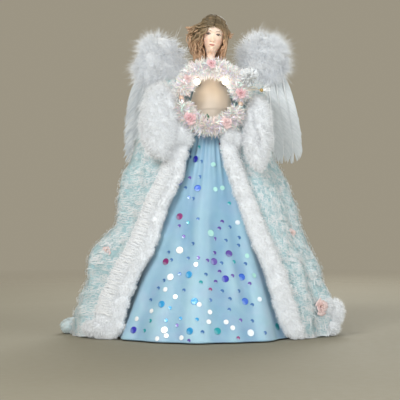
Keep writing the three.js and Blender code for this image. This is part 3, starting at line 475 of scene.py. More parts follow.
def lace_finish(name):
    """Pale aqua voile under looping white cords, which follow the levels of a noise."""
    made = Finish(name)
    levels = made.noise(230, 1.0, Distortion=1.6)
    cords = made.ramp(levels, ["black", "white"] * 3 + ["black"], 0.32, 0.68)
    ground = made.ramp(made.noise(120), ["aqua_deep", "aqua", "aqua_deep", "aqua"], 0.32, 0.7)
    # The ground glows faintly: painted light that stands in for light coming through the lace
    made.set(Base_Color=made.mixed(cords, ground, INKS["aqua"]), Sheen_Weight=0.4,
             Emission_Color=ground, Emission_Strength=0.05)
    made.rough(0.5, 0.7, 400)
    return made.relief(cords, 0.9, 0.5 * MM).material


def satin_finish():
    """Blue satin with faint pink and green lights and a fine weave, and painted light and shade on its
    folds.
    """
    made = Finish("skirt_satin")
    body = made.ramp(made.noise(26, 2.0), ["satin", "satin_light", "satin"], 0.3, 0.7)
    lights = made.ramp(made.noise(48, 2.0), ["satin_pink", "satin", "satin_green"], 0.32, 0.68)
    mixed = made.mixed(0.4, body, lights)
    # The tint paints light and shade onto the folds: its red runs from shade to light, its green says how
    # much of that is laid over the satin
    deep = made.ramp(made.tint("Red"), ["satin_deep", "satin_light"])
    made.set(Base_Color=made.mixed(made.tint("Green"), mixed, deep), Sheen_Weight=0.3,
             Anisotropic=0.3, Specular_IOR_Level=0.35)
    made.rough(0.44, 0.6, 300)
    creases = made.math("ADD", made.noise(190, 2.0), made.math("MULTIPLY", made.noise(2600, 2.0), 0.15))
    return made.relief(creases, 0.35, 0.6 * MM).material


def lamp_finish():
    made = Finish("warm_lamp")
    glow = made.ramp(made.noise(500), ["white", "cream"], 0.3, 0.7)
    made.set(Base_Color=glow, Emission_Color=ink(255, 234, 200), Emission_Strength=7.0)
    made.rough(0.12, 0.25, 600)
    return made.material


FINISHES = {
    "skirt": satin_finish(),
    "bodice": grained("bodice_satin", ["champagne", "tan", "champagne"], 14, (0.42, 0.55), 2200, 0.08,
                      Sheen_Weight=0.3),
    "band": grained("waist_band_satin", ["satin", "satin_light"], 60, (0.35, 0.5), 1800, 0.15,
                    Sheen_Weight=0.3),
    "sleeve": lace_finish("sleeve_lace"),
    "coat": lace_finish("coat_lace_ground"),
    "lace": stranded("lace_cord", ["white", "snow", "aqua_light", "white", "snow"], (0.4, 0.6),
                     Sheen_Weight=0.3),
    # Plush, down, feathers and tinsel glow faintly in their own colour: painted light that stands in for
    # light scattered through them
    "plush": stranded("plush_pile", ["white", "snow", "white"], (0.7, 0.9), painted_glow=0.07, Sheen_Weight=0.5),
    "down": stranded("marabou_down", ["snow", "white", "shade", "white"], (0.6, 0.8), painted_glow=0.06,
                     Sheen_Weight=0.5),
    "feather": stranded("feather_vane", ["quill", "quill_light", "quill", "quill_shade"], (0.45, 0.6),
                        painted_glow=0.03, Sheen_Weight=0.3),
    "tinsel": stranded("wreath_tinsel",
                       ["white", "cream", "mint", "white", "pink_light", "cream", "lilac", "white"],
                       (0.15, 0.35), 0.3, painted_glow=0.07, glow=1.7, Coat_Weight=0.5, Coat_Roughness=0.12),
    "sequin": painted("sequin_film", (0.32, 0.45), 700, 0.08, Metallic=0.15, Coat_Weight=0.3,
                      Coat_Roughness=0.16),
    "petal": painted("rose_ribbon", (0.4, 0.6), 900, 0.25, Sheen_Weight=0.4, Subsurface_Weight=0.1),
    "face": painted("painted_face", (0.38, 0.5), 1100, 0.06, 0.08, Subsurface_Weight=0.08, Coat_Weight=0.15,
                    Coat_Roughness=0.4),
    "hair": stranded("painted_hair", ["olive", "brown", "auburn", "russet"], (0.42, 0.6), 0.25, 300, 0.32),
    "hand": grained("painted_hand", ["skin_deep", "skin"], 220, (0.4, 0.55), 1200, 0.1,
                    Subsurface_Weight=0.05),
    "leaf": painted("leaf_silk", (0.45, 0.6), 800, 0.3),
    "berry": painted("berry_pick_paint", (0.2, 0.4), 900, 0.2, Metallic=0.35),
    "board": grained("cone_board", ["board", "cream", "board"], 40, (0.7, 0.85), 500, 0.3),
    "plastic": grained("moulded_plastic", ["snow", "white"], 60, (0.35, 0.5), 900, 0.08),
    "bracket": grained("bracket_plastic", ["aqua", "aqua_light", "snow"], 90, (0.35, 0.5), 700, 0.2),
    "socket": grained("socket_plastic", ["white", "snow"], 90, (0.3, 0.45), 900, 0.08),
    "lead": grained("lead_jacket", ["white", "cream"], 120, (0.4, 0.55), 1400, 0.1),
    "wire": grained("bright_wire", ["silver", "snow"], 200, (0.2, 0.35), 1500, 0.1, Metallic=0.9),
    "wood": grained("dowel_wood", ["wood", "cream"], 180, (0.55, 0.7), 700, 0.3),
    "lamp": lamp_finish(),
}

# Cloth that goes round the figure


class Cloth:
    """A grid of places on cloth, with its normals, that can be read between its points."""

    def __init__(self, points, closed=False):
        self.points = points = np.concatenate([points, points[:, :1]], 1) if closed else points
        self.normals = unit(np.cross(np.gradient(points, axis=1), np.gradient(points, axis=0)))

    def at(self, u, v, lift=0.0):
        """Places at shares u across the columns and v up the rows."""
        rows, columns = self.points.shape[:2]
        x, y = np.clip(u, 0, 1) * (columns - 1), np.clip(v, 0, 1) * (rows - 1)
        i, j = np.minimum(y.astype(int), rows - 2), np.minimum(x.astype(int), columns - 2)
        a, b = (x - j)[..., None], (y - i)[..., None]
        mix = lambda g: ((g[i, j] * (1 - a) + g[i, j + 1] * a) * (1 - b)
                         + (g[i + 1, j] * (1 - a) + g[i + 1, j + 1] * a) * b)
        normals = unit(mix(self.normals))
        return mix(self.points) + normals * np.asarray(lift)[..., None], normals

    def size(self):
        """The width of each row and the length of each column."""
        across = np.linalg.norm(np.diff(self.points, axis=1), axis=2).sum(1)
        along = np.linalg.norm(np.diff(self.points, axis=0), axis=2).sum(0)
        return across, along


def polar_radii(tree, turns, heights, reach=0.3):
    """How far out the skin lies from the upright axis, nan where there is none."""
    radii = np.full((len(heights), len(turns)), np.nan)
    for i, z in enumerate(heights):
        for j, turn in enumerate(turns):
            out = Vector((math.sin(turn), -math.cos(turn), 0))
            hit = tree.ray_cast(Vector((0, 0, z)) + out * reach, -out, reach)[0]
            if hit is not None:
                radii[i, j] = math.hypot(hit.x, hit.y)
    return radii


def filled(radii):
    """Bridges the gaps in each row, and repeats a row over empty ones."""
    steps = np.arange(radii.shape[1])
    for row in radii:
        known = ~np.isnan(row)
        if known.any():
            row[:] = np.interp(steps, steps[known], row[known], period=len(steps))
    for i in range(1, len(radii)):
        if np.isnan(radii[i]).all():
            radii[i] = radii[i - 1]
    return radii


def ring_points(radii, turns, heights):
    upright = np.broadcast_to(np.asarray(heights)[:, None], radii.shape)
    return np.stack([radii * np.sin(turns), -radii * np.cos(turns), upright], -1)


def round_skin(nodes, columns, rows, foot, top):
    """Radii round the axis of some nodes' skin, with turns and heights, those gaps off its ends."""
    low, high = box_of(nodes[0])
    turns, heights = circle(columns), np.linspace(low[2] + foot, high[2] - top, rows)
    return polar_radii(tree_of(*nodes), turns, heights), turns, heights


def sheet_of(cloth):
    """Reads the width of a cloth's rows and the length of its columns, and keeps neither."""
    across, along = cloth.size()


# Skirt


def make_skirt():
    radii, turns, heights = round_skin(["skirt"], 360, 110, 0.3 * MM, 0.6 * MM)
    radii = smoothed(filled(radii), 2.2, 1.6)
    rise = ((heights - heights[0]) / (heights[-1] - heights[0]))[:, None]
    rim = np.stack([np.cos(turns), np.sin(turns)], -1)
    creases = waves(ring_points(radii, turns, heights) * (1, 1, 0.25), 30 * MM)
    waist = smooth_step(0.55, 1.0, rise)
    radii += (soften(radii, 7, 1, True) - radii) * 0.85 * waist
    radii += MM * (0.8 * waves(rim, 0.16) * waist + (0.7 * creases + 2.4 * waves(rim, 0.8)) * (1 - waist))
    radii[0] += 0.4 * MM
    points = ring_points(radii, turns, heights)
    cloth = Cloth(points, closed=True)
    # Painted light and shade: the tint's red is lighter on the folds' crests and darker in their hollows,
    # and red and green both darken the skirt towards the waist, as painted shade there
    fold_light = smooth_step(1.2 * MM, -0.8 * MM, soften(radii, 9, 1, True) - radii)
    upper = smooth_step(0.2, 0.5, rise)
    tints = tinted(points, fold_light * (1 - 0.42 * upper), 0.3 + 0.2 * upper, fold_light)
    satin = Heap().grid(points, tints, wrap=True)
    piece = satin.piece("skirt_cloth", "skirt", "skirt", "figure", ["skirt"], "skirt")
    shares = np.linspace(0, 1, 240)
    hem, _ = cloth.at(shares, np.full(240, 0.004), 0.15 * MM)
    seam = Heap()
    # The roll takes the lighter end of the folds' painted light and shade
    seam.tubes(hem[None], 0.45 * MM, cloth.at(shares, np.zeros(240))[1][None], (0.8, 0.3, 0.5), around=6)
    return piece, seam.piece("skirt_hem_roll", "skirt", "skirt", "figure"), cloth


# Places of sequins in the photograph, in its pixels, by size and colour

LARGE_SEQUINS = {
    "indigo": [(195.5, 159.2), (225.3, 278.9), (133.6, 330)],
    "royal": [(197.6, 188.2), (241.5, 277.1), (244.8, 301.4)],
    "magenta": [(179.6, 216.6), (165.8, 261.8)],
    "violet": [(228.8, 253.7), (213.9, 261.6)],
    "cyan": [(188.9, 274.7), (161.6, 304.2), (194.4, 301.4), (189.8, 331.1)],
    "teal": [(217.4, 331.1), (277.1, 326.6)],
    "cream": [(179.7, 250.3)],
    "white": [(170.3, 277.1), (164.3, 330)],
    "pearl": [(250.6, 332.9)],
    "sea": [(210.7, 233.2)],
}
MEDIUM_SEQUINS = {
    "white": [
        (195.8, 264.5), (165.3, 289.5), (175.3, 296.8), (199.2, 304.5), (151.6, 311.1), (136.8, 318.9),
        (209.8, 312.1), (208.7, 321.9), (226.1, 322.1), (232.6, 327.9), (157.2, 338.7), (166.3, 335.8),
        (181.4, 337.9),
    ],
    "sea": [(213.4, 164.5), (215.3, 189.3), (222.3, 188), (246.9, 255.8), (254, 275.6)],
    "pearl": [(237.6, 222.6), (259.5, 299.3)],
}
SMALL_SEQUINS = {
    "slate": [
        (190.8, 152), (201.6, 161.6), (199.9, 176.9), (185.5, 187.9), (193.2, 198.7), (188.9, 197.4),
        (197.9, 219.2), (192.9, 243.7), (168.7, 252.4), (171.4, 260), (188.1, 258.4), (221.4, 263.2),
        (179.5, 274), (205.8, 274.5), (164, 280.5), (158.4, 288.2), (184, 290.3), (222.1, 291.1),
        (150.8, 300), (210.3, 300.2), (202.4, 332.1), (225.8, 240.5), (229.7, 227.1), (238.9, 237.7),
        (238.3, 245.5), (245.3, 263.9), (238.7, 291.1), (229.8, 298.9), (252.1, 304.9), (229.2, 309.7),
        (252.1, 321.1), (265, 332.9),
    ],
    "violet": [
        (189.7, 178), (179.2, 226), (183.6, 236.6), (198.2, 257.7), (207.4, 260.5), (214.4, 252.8),
        (219.5, 271.6), (215.6, 281.6), (176.9, 325.5), (188.9, 340.8), (222.1, 221.6), (219.2, 228.4),
        (215.1, 238.9), (232.4, 275.8), (249.6, 283.7), (240.5, 320.3),
    ],
    "teal": [(187.9, 222.6), (200.8, 282.3), (229.2, 203.4), (150.4, 320.8), (144.5, 330.7), (233.8, 261.9)],
    "magenta": [(210.3, 289.5), (238.2, 338.1)],
    "cyan": [(169.9, 308), (180.5, 318.5), (166, 320.5), (196.9, 319.5)],
}
SEQUIN_RADII = {"large": 4.3 * MM, "medium": 3.0 * MM, "small": 2.3 * MM}
# A sequin's section: how far out and how far up, as shares of its radius
SEQUIN_PROFILE_SHARES = [(0.02, 0.02), (0.55, 0.03), (0.94, 0.06), (1.0, 0.04), (0.97, 0.0)]
# Those strewn behind the part that the photograph shows: size, colours, how many tries and how many
# mm they keep from the others
STREWN_SEQUINS = [("large", ["cyan", "royal", "white", "indigo", "magenta"], 60, 11),
                  ("medium", ["white", "pearl", "sea"], 90, 8),
                  ("small", ["slate", "violet", "teal", "cyan", "magenta"], 330, 6)]
FRONT_OF_SKIRT = -35 * MM


def picture_ray(across, down):
    half = PICTURE_SIDE / 2
    return Vector(((across - half) / FOCAL_PIXELS, 1, (half - down) / FOCAL_PIXELS)).normalized()


def add_sequin(heap, place, normal, radius, colour):
    """A round film disc, slightly cupped, tilted a little off the cloth, with a painted highlight on one
    side.
    """
    normal = unit(normal + rng.normal(0, 0.05, 3))
    across = unit(np.cross(normal, (0, 0, 1)))
    turns = circle(16)[:, None]
    ring = across * np.cos(turns) + np.cross(normal, across) * np.sin(turns)
    points = np.stack([place + normal * (0.25 * MM + rise * radius) + ring * radius * out
                       for out, rise in SEQUIN_PROFILE_SHARES])
    # Painted highlight: an arc on one side of the disc is lightened towards pale satin, more on the small
    # sequins
    light = over(INKS[colour], "satin_light", 0.8 if radius < SEQUIN_RADII["medium"] else 0.35)
    away = np.abs((turns[:, 0] - rng.uniform(0.2, 1.4) + math.pi) % TURN - math.pi)
    painted_glint = np.array([0.15, 0.8, 1, 0.5, 0.2])[:, None] * smooth_step(1.25, 0.7, away)
    heap.grid(points, over(INKS[colour], light, painted_glint), wrap=True)


def make_sequins(cloth):
    """Sequins where the photograph shows them, and strewn ones on the rest of the skirt."""
    heap = Heap()
    faces = grid_faces(*cloth.points.shape[:2])
    tree = BVHTree.FromPolygons(cloth.points.reshape(-1, 3).tolist(), faces.tolist())
    placed = []
    for size, table in (("large", LARGE_SEQUINS), ("medium", MEDIUM_SEQUINS), ("small", SMALL_SEQUINS)):
        for colour, pixels in table.items():
            for across, down in pixels:
                place, normal, *_ = tree.ray_cast(CAMERA_AT, picture_ray(across, down))
                if place is None:
                    continue
                toward = 1 if normal.dot(CAMERA_AT - place) > 0 else -1
                placed.append(np.array(place))
                add_sequin(heap, np.array(place), np.array(normal) * toward, SEQUIN_RADII[size], colour)
    for size, colours, count, apart in STREWN_SEQUINS:
        for _ in range(count):
            u, v = rng.random(1), rng.random(1) ** 1.5
            place, normal = (row[0] for row in cloth.at(u, v * 0.93 + 0.02))
            near = min(np.linalg.norm(place - other) for other in placed)
            if place[1] > FRONT_OF_SKIRT and near > apart * MM:
                placed.append(place)
                add_sequin(heap, place, normal, SEQUIN_RADII[size], str(rng.choice(colours)))
    return heap.piece("skirt_sequins", "skirt", "sequin", "figure")


# Coat

COAT_NODES = ["coat_back", "right_coat_front", "left_coat_front"]
COAT_COLUMNS = 480
# The armholes: the heights that they run between and the chest's radius, in mm, and how far
# their edge swings back and how softly they meet the coat's back
ARMHOLE_FOOT, ARMHOLE_TOP, CHEST_RADIUS = 242, 281, 31
ARMHOLE_SWING, ARMHOLE_BLEND = math.radians(45), math.radians(28)
# The hem trim is covered by lace again to the right of this, in mm
LACE_CORNER = -150
# The lace: its name, the shares round the coat that it lies between, its cords and its shags
LACE_PIECES = [("left", 0, 0.3, 4000, 2400), ("back", 0.3, 0.7, 4600, 1400), ("right", 0.7, 1, 4200, 0)]
# How many loops lie along a front edge, and how many of all along the edges and the hem
EDGE_LOOPS, RIM_LOOPS = 300, 650
# The share of the loops that stand loose off the coat, and how far in mm
LOOSE_LOOPS, LOOSE_BY = 0.22, 2.6


def close_armholes(radii, turns, heights):
    """Brings the coat's sides up under the arms, in towards the chest."""
    foot = np.searchsorted(heights, ARMHOLE_FOOT * MM) - 1
    known = turns[~np.isnan(radii[foot])]
    side = np.minimum(turns, TURN - turns)
    front = min(known.min(), TURN - known.max())
    whole = filled(radii[foot:foot + 1].copy())[0]
    for row, z in zip(radii, heights):
        share = (z / MM - ARMHOLE_FOOT) / (ARMHOLE_TOP - ARMHOLE_FOOT)
        if not 0 < share < 1:
            continue
        share = smooth_step(0, 1, share)
        bare = np.isnan(row)
        for half in (turns < math.pi, turns >= math.pi):
            edge = side[half & ~bare].min()
            reach = row[half & ~bare][np.argmin(side[half & ~bare])]
            drawn = whole + (CHEST_RADIUS * MM - whole) * share
            drawn += (reach - drawn) * smooth_step(edge - ARMHOLE_BLEND, edge, side)
            open_part = half & bare & (side > front + ARMHOLE_SWING * share) & (side < edge)
            row[open_part] = drawn[open_part]


def make_coat():
    radii, turns, heights = round_skin(COAT_NODES, COAT_COLUMNS, 116, 0.3 * MM, 0.6 * MM)
    close_armholes(radii, turns, heights)
    half = COAT_COLUMNS // 2
    cloth_at = ~np.isnan(radii)
    starts = soften(turns[np.argmax(cloth_at[:, :half], 1)], 1.5)
    ends = soften(turns[COAT_COLUMNS - 1 - np.argmax(cloth_at[:, :half - 1:-1], 1)], 1.5)
    radii = smoothed(filled(radii), 1.6, 1.2)
    own = starts[:, None] + (ends - starts)[:, None] * np.linspace(0, 1, 400)
    spread = np.array([np.interp(row, turns, r, period=TURN) for row, r in zip(own, radii)])
    low, high = box_of("coat_back")
    rise = ((heights - low[2]) / (high[2] - low[2]))[:, None]
    places = ring_points(spread, own, heights)
    ripples = 1.6 * waves(places * (1, 1, 0.2), 45 * MM) + 0.8 * waves(places, 20 * MM)
    points = ring_points(spread + ripples * MM * (1 - 0.6 * rise), own, heights)
    points[..., 2] += 2.0 * MM * waves(places[:1, :, :2], 30 * MM) * smooth_step(0.1, 0.0, rise)
    piece = Heap().grid(points).piece("coat_cloth", "lace", "coat", "figure", COAT_NODES, "coat")
    return piece, Cloth(points)


def looping(count, size, drift, steps=20):
    """Flat lines that curl as they go: their two rows of places and how high they lie."""
    share = np.linspace(0, 1, steps)
    heading = rng.uniform(0, TURN, (count, 1))
    wide, far = (rng.uniform(*span, (count, 1)) * MM for span in (size, drift))
    spin = heading + TURN * rng.uniform(1.2, 2.4, (count, 1)) * share
    lift = (0.4 + 0.8 * rng.random((count, 1)) + 0.5 * np.sin(spin * 0.5 + heading)) * MM
    return (far * share * np.cos(heading) + wide * np.cos(spin),
            far * share * np.sin(heading) + wide * np.sin(spin), lift)


def lay_cords(heap, paths, normals, tones=(0, 1)):
    """Flat cords along paths, with their faces outwards."""
    tints = tinted(paths, rng.uniform(*tones, (len(paths), 1)))
    heap.strips("cord", paths, 1, tints, unit(np.cross(np.gradient(paths, axis=1), normals)))


def cords_on(heap, points, faces, count, clear=0.5, tones=(0, 1)):
    """Loops of cord over a skin, that many mm clear of it."""
    roots, out = scattered(points, faces, count)
    x, y, lift = looping(count, (1.0, 2.0), (2, 5))
    across = side_of(out)
    upward = np.cross(out, across)
    paths = roots[:, None] + across[:, None] * x[..., None] + upward[:, None] * y[..., None]
    lay_cords(heap, paths + out[:, None] * (lift[..., None] + clear * MM), out[:, None], tones)


def hem_corner(heap):
    """Loops of cord over the hem trim's right end, as the lace hangs there."""
    points, faces = rounded_skin("coat_hem_trim", 1)
    centres = points[faces].mean(1)
    end = (centres[:, 0] < LACE_CORNER * MM) & (centres[:, 1] < points[:, 1].mean())
    cords_on(heap, points, faces[end], 900, 3.0, (0.42, 0.6))


def lay_shags(heap, roots, out):
    """Short threads that hang from the lace."""
    count, share = len(roots), path_shares(5)
    way = unit(np.array((0.1, 0, -1)) + rng.normal(0, 0.24, (count, 3)))
    paths = roots[:, None] + rng.uniform(6, 13, (count, 1, 1)) * MM * share * way[:, None]
    paths += out[:, None] * (2.0 * MM) * np.sin(share * 2.6)
    sway = np.sin(share * 7 + rng.uniform(0, TURN, (count, 1, 1)))
    paths += unit(np.cross(way, out))[:, None] * 0.7 * MM * sway
    heap.strips("shag", paths, [1, 1, 0.9, 0.6, 0.15], tinted(paths, rng.random((count, 1))),
                flat_out(out, way)[:, None])


def make_lace(cloth):
    """White cord laid in loops over the coat in three pieces, with loops past its edges."""
    width, length = (rows.mean() for rows in cloth.size())
    pieces = []
    for name, low, high, count, shags in LACE_PIECES:
        u = rng.uniform(low, high, (count, 1))
        v = rng.random((count, 1)) ** 1.2
        if name != "back":
            u[:EDGE_LOOPS] = {"left": 0.004, "right": 0.996}[name]
        v[EDGE_LOOPS:RIM_LOOPS] = 0.0
        x, y, lift = looping(count, (1.0, 2.4), (4, 9))
        x[:RIM_LOOPS] *= 0.8
        y[:RIM_LOOPS] *= 0.8
        lift = lift + LOOSE_BY * MM * (rng.random((count, 1)) < LOOSE_LOOPS)
        heap = Heap()
        lay_cords(heap, *cloth.at(u + x / width, v + y / length, lift))
        if shags:
            lay_shags(heap, *cloth.at(rng.uniform(low, high, shags), rng.random(shags) ** 1.1, 0.3 * MM))
        if name == "right":
            hem_corner(heap)
        pieces.append(heap.piece(f"coat_lace_{name}", "lace", "lace", "figure"))
    return pieces


# Plush

# The cores' tint: its green darkens them a little, as painted shade under the pile
CORE_TINT = (0.5, 0.8, 0.5)
# The left cuff's slit, its two ends in mm seen from the front
CUFF_SLIT = [(49.8, 275), (57.3, 235)]
# Lumps of plush at the coat's corners: centre, radius in mm and stretch
RIGHT_TRIM_LUMPS = [((-128, -50, 14), 12, (1.5, 0.8, 0.9)), ((-146, -40, 13), 9, (1.1, 0.8, 0.9)),
                    ((-38, -42, 246), 10, (1, 0.8, 1.2)), ((-29, -42, 243), 7, (0.8, 0.8, 1.2))]
LEFT_TRIM_LUMPS = [((22, -42, 246), 8.5, (1, 0.8, 1.2)), ((30, -40, 242), 8, (0.9, 0.8, 1.2))]
HEM_LUMPS = [((151, -8, 29), 14, (0.85, 0.8, 1.1)), ((137, -18, 37), 12, (1.1, 0.6, 1)),
             ((148, -12, 12), 9, (1, 1, 1))]


def pile(heap, points, faces, per_mm2, length):
    """Short soft blades that stand on a skin, combed down a little."""
    area = np.linalg.norm(soft_normals(points, faces)[1], axis=1).sum() / 2
    places, normals = scattered(points, faces, int(area * 1e6 * per_mm2))
    count, comb = len(places), np.array((0, 0, -0.4))
    way = unit(normals + comb + 0.18 * drifts(places, 9 * MM) + rng.normal(0, 0.45, (count, 3)))
    tall = length * rng.uniform(0.6, 1.25, (count, 1, 1))
    share = np.array([-0.12, 0.5, 1.0])[:, None]
    bend = unit(way + comb * 0.8 + rng.normal(0, 0.3, (count, 3)))[:, None]
    paths = places[:, None] + tall * (way[:, None] * share * (1.3 - share * 0.5) + bend * share ** 2 * 0.35)
    # The tint's green darkens each blade towards its foot: painted shade deep among the blades
    tints = tinted(paths, rng.random((count, 1)), share[:, 0].clip(0, 1))
    heap.strips("pile", paths, [1.0, 0.8, 0.15], tints, flat_out(normals, way)[:, None])


def plush_piece(node, name, body, dense, length, uneven, lumps=(), extra=None, shape=None):
    """A plush piece over one CAD node: a soft lumpy core under its pile, dense in blades per mm2."""
    points, faces = rounded_skin(node, 2)
    points = swollen(points, faces, waves(points, 16 * MM) * uneven * MM - 0.3 * MM)
    if shape:
        points = swollen(points, faces, shape(points))
    heap = Heap().add(points, faces, CORE_TINT)
    pile(heap, points, faces, dense, length * MM)
    for lump in lumps:
        plush_lump(heap, *lump)
    if extra:
        extra(heap)
    heap.piece(name, "plush", "plush", body, [node])


def front_points(tree, z, low, high):
    """The front of a skin at one height, from its one side to the other."""
    across = np.linspace(low[0], high[0], 120)
    hits = [tree.ray_cast(Vector((x, -0.2, z)), Vector((0, 1, 0)))[0] for x in across]
    return np.array([tuple(hit) for hit in hits if hit is not None])


def rib_band(heap):
    """Chenille ribs across the outer half of the right front trim."""
    tree = tree_of("right_coat_trim")
    low, high = box_of("right_coat_trim")
    steps, count = 16, 100
    for z in np.arange(low[2] + 30 * MM, high[2] - 26 * MM, 2.5 * MM):
        found = front_points(tree, z, low, high)
        if len(found) < 12:
            continue
        outer = found[: int(len(found) * rng.uniform(0.5, 0.6))]
        path = read_rows(np.linspace(0, len(outer) - 1, steps), np.arange(len(outer)), outer)
        path[:, 1] -= 0.7 * MM
        path[:, 2] += np.linspace(3.0, -1.5, steps) * MM + 0.6 * MM * waves(path, 8 * MM)
        tall = 1.3 * MM * np.sin(np.linspace(0.5, math.pi - 0.3, steps)) * rng.uniform(0.85, 1.1)
        heap.tubes(path[None], tall[None], (0, -1, 0), (rng.random(), 0.3, 0.5), around=8)
        base = read_rows(rng.random(count) * (steps - 1), np.arange(steps), path)
        way = unit(np.array((0, -1, 0)) + rng.normal(0, 0.9, (count, 3)))
        fuzz = base[:, None] + way[:, None] * (np.array([0.8, 1.7, 2.6]) * MM)[:, None]
        heap.strips("cord", fuzz, [1, 0.75, 0.208], tinted(fuzz, rng.random((count, 1)), 0.55),
                    flat_out(np.array((0.0, -1.0, 0.0)), way)[:, None])


def plush_lump(heap, centre, radius, stretch):
    """A round lump of plush."""
    lump = Heap()
    ball(lump, np.array(centre) * MM, radius * MM, CORE_TINT, stretch)
    heap.add(lump.points[0], lump.faces[0], CORE_TINT)
    pile(heap, lump.points[0], lump.faces[0], 1.6, 4.5 * MM)


def slit(points):
    """How far a skin moves along the left cuff's slit: it is drawn in, so below nought."""
    top, foot = np.array(CUFF_SLIT) * MM
    along = np.clip(((points[:, [0, 2]] - top) @ (foot - top)) / ((foot - top) @ (foot - top)), 0, 1)
    away = np.linalg.norm(points[:, [0, 2]] - top - along[:, None] * (foot - top), axis=1)
    return -4.5 * MM * bump_at(away, 2.0 * MM) * (points[:, 1] < points[:, 1].mean())


def make_plush():
    plush_piece("right_coat_trim", "right_trim_plush", "figure", 1.4, 3.4, 1.0, RIGHT_TRIM_LUMPS, rib_band)
    plush_piece("left_coat_trim", "left_trim_plush", "figure", 1.5, 3.2, 0.8, LEFT_TRIM_LUMPS)
    plush_piece("coat_hem_trim", "hem_trim_plush", "figure", 0.9, 3.4, 0.8, HEM_LUMPS)
    plush_piece("right_cuff", "right_cuff_plush", "arms", 1.5, 5.0, 1.2)
    plush_piece("left_cuff", "left_cuff_plush", "arms", 1.5, 4.6, 1.3, shape=slit)


# Wings


def make_down(node, name, body):
    """A cloud of marabou: curved barbs in tufts over a soft core."""
    points, faces = rounded_skin(node)
    middle = points.mean(0)
    core = middle + (points - middle) * 0.78
    # The core's tint darkens it a little, as painted shade under the barbs
    heap = Heap().add(core, faces, (0.4, 0.75, 0.5))
    tufts, barbs = 1900, 9
    places, normals = scattered(core, faces, tufts)
    fan = side_of(normals)[:, None].repeat(barbs, 1)
    lean = unit(normals + 0.5 * drifts(places, 26 * MM) + np.array((0, 0, -0.25))
                + rng.normal(0, 0.25, (tufts, 3)))[:, None]
    angles = np.linspace(-0.85, 0.85, barbs) + rng.normal(0, 0.12, (tufts, barbs))
    ways = turned_about(lean.repeat(barbs, 1), fan, angles).reshape(-1, 3)
    roots = (places[:, None] + lean * np.linspace(0, 2.4, barbs)[:, None] * MM).reshape(-1, 3)
    count, share = len(ways), path_shares(5)
    tall = rng.uniform(6, 15, (count, 1, 1)) * MM * (1 + 0.35 * (rng.random((count, 1, 1)) < 0.08))
    curl = unit(rng.normal(0, 1, (count, 3)) + np.array((0, 0, -0.5)))[:, None]
    paths = roots[:, None] + tall * (ways[:, None] * share + curl * share ** 2 * 0.35)
    # The green darkens each barb towards its root: painted shade deep in the tuft
    tints = tinted(paths, rng.random((count, 1)), 0.6 + 0.4 * share[:, 0])
    heap.strips("down", paths, [1.3, 1.0, 0.75, 0.45, 0.1], tints,
                flat_out(normals.repeat(barbs, 0), ways)[:, None])
    heap.piece(name, "down", "down", body, [node])


def feather_edges(node, heights):
    """The two edges of a flat hanging feather at each height, and how far back it hangs."""
    tree = tree_of(node)
    low, high = box_of(node)
    y = (low[1] + high[1]) / 2
    edges = np.full((len(heights), 2), np.nan)
    for row, z in zip(edges, heights):
        for k, (start, way) in enumerate(((low[0] - 10 * MM, 1), (high[0] + 10 * MM, -1))):
            hit = tree.ray_cast(Vector((start, y, z)), Vector((way, 0, 0)))[0]
            row[k] = hit.x if hit is not None else np.nan
    known = ~np.isnan(edges[:, 0])
    return read_rows(heights, heights[known], edges[known]), y


# How much of a smooth feather's length its round tip takes up
ROUND_TIP_SHARE = 0.16
# How feathers differ: the shares of stray barbs, the splits in the vane, the unevenness of its edge
# in mm, the barbs' twist and how far their tints spread
RAGGED = {"stray": 0.22, "split": 0.004, "uneven": 0.8, "twist": 0.12, "spread": 0.4}
SMOOTH = {"stray": 0.015, "split": 0.0006, "uneven": 0.12, "twist": 0.04, "spread": 0.2}


def add_vane(heap, share, spine, edge, out, look):
    """The barbs at one side of a feather, from its spine to that edge."""
    count, t = 190, path_shares(7)
    foot = np.linspace(0.1, 0.95, count) + rng.normal(0, 0.003, count)
    stray = rng.random(count) < look["stray"]
    split = np.cumsum(rng.normal(0, look["split"], count))
    reach = np.clip(foot - 0.13 + split - split.mean(), 0.0, 1.0)
    root = read_rows(foot, share, spine)
    end = read_rows(reach, share, np.stack([edge, *spine[:, 1:].T], -1))
    end[:, 0] += out * (rng.normal(0.3, look["uneven"], count) + stray * 2.0) * MM
    end[:, 1] += rng.normal(0, 0.5, count) * MM + stray * rng.normal(0, 2.0, count) * MM
    end[:, 2] -= stray * rng.uniform(1, 5, count) * MM
    end = root + (end - root) * (0.35 + 0.65 * smooth_step(0.0, 0.12, foot)[:, None])
    knee = root + (end - root) * np.array([0.62, 0.5, 0.25])
    paths = bent(root[:, None], knee[:, None], end[:, None], t)
    paths[..., 1] -= 0.9 * MM * np.sin(t[:, 0] * math.pi)
    twist = np.array((0, 1, 0)) + rng.normal(0, look["twist"], (count, 1, 3))
    sides = unit(np.cross(unit(np.gradient(paths, axis=1)), twist))
    # The green darkens each barb near the spine: painted shade where the barbs crowd together
    tints = tinted(paths, rng.random((count, 1)) * look["spread"] + 0.55, 0.85 + 0.15 * t[:, 0])
    heap.strips("vane", paths, [1.0, 1.0, 1.0, 0.95, 0.85, 0.6, 0.2], tints, sides)


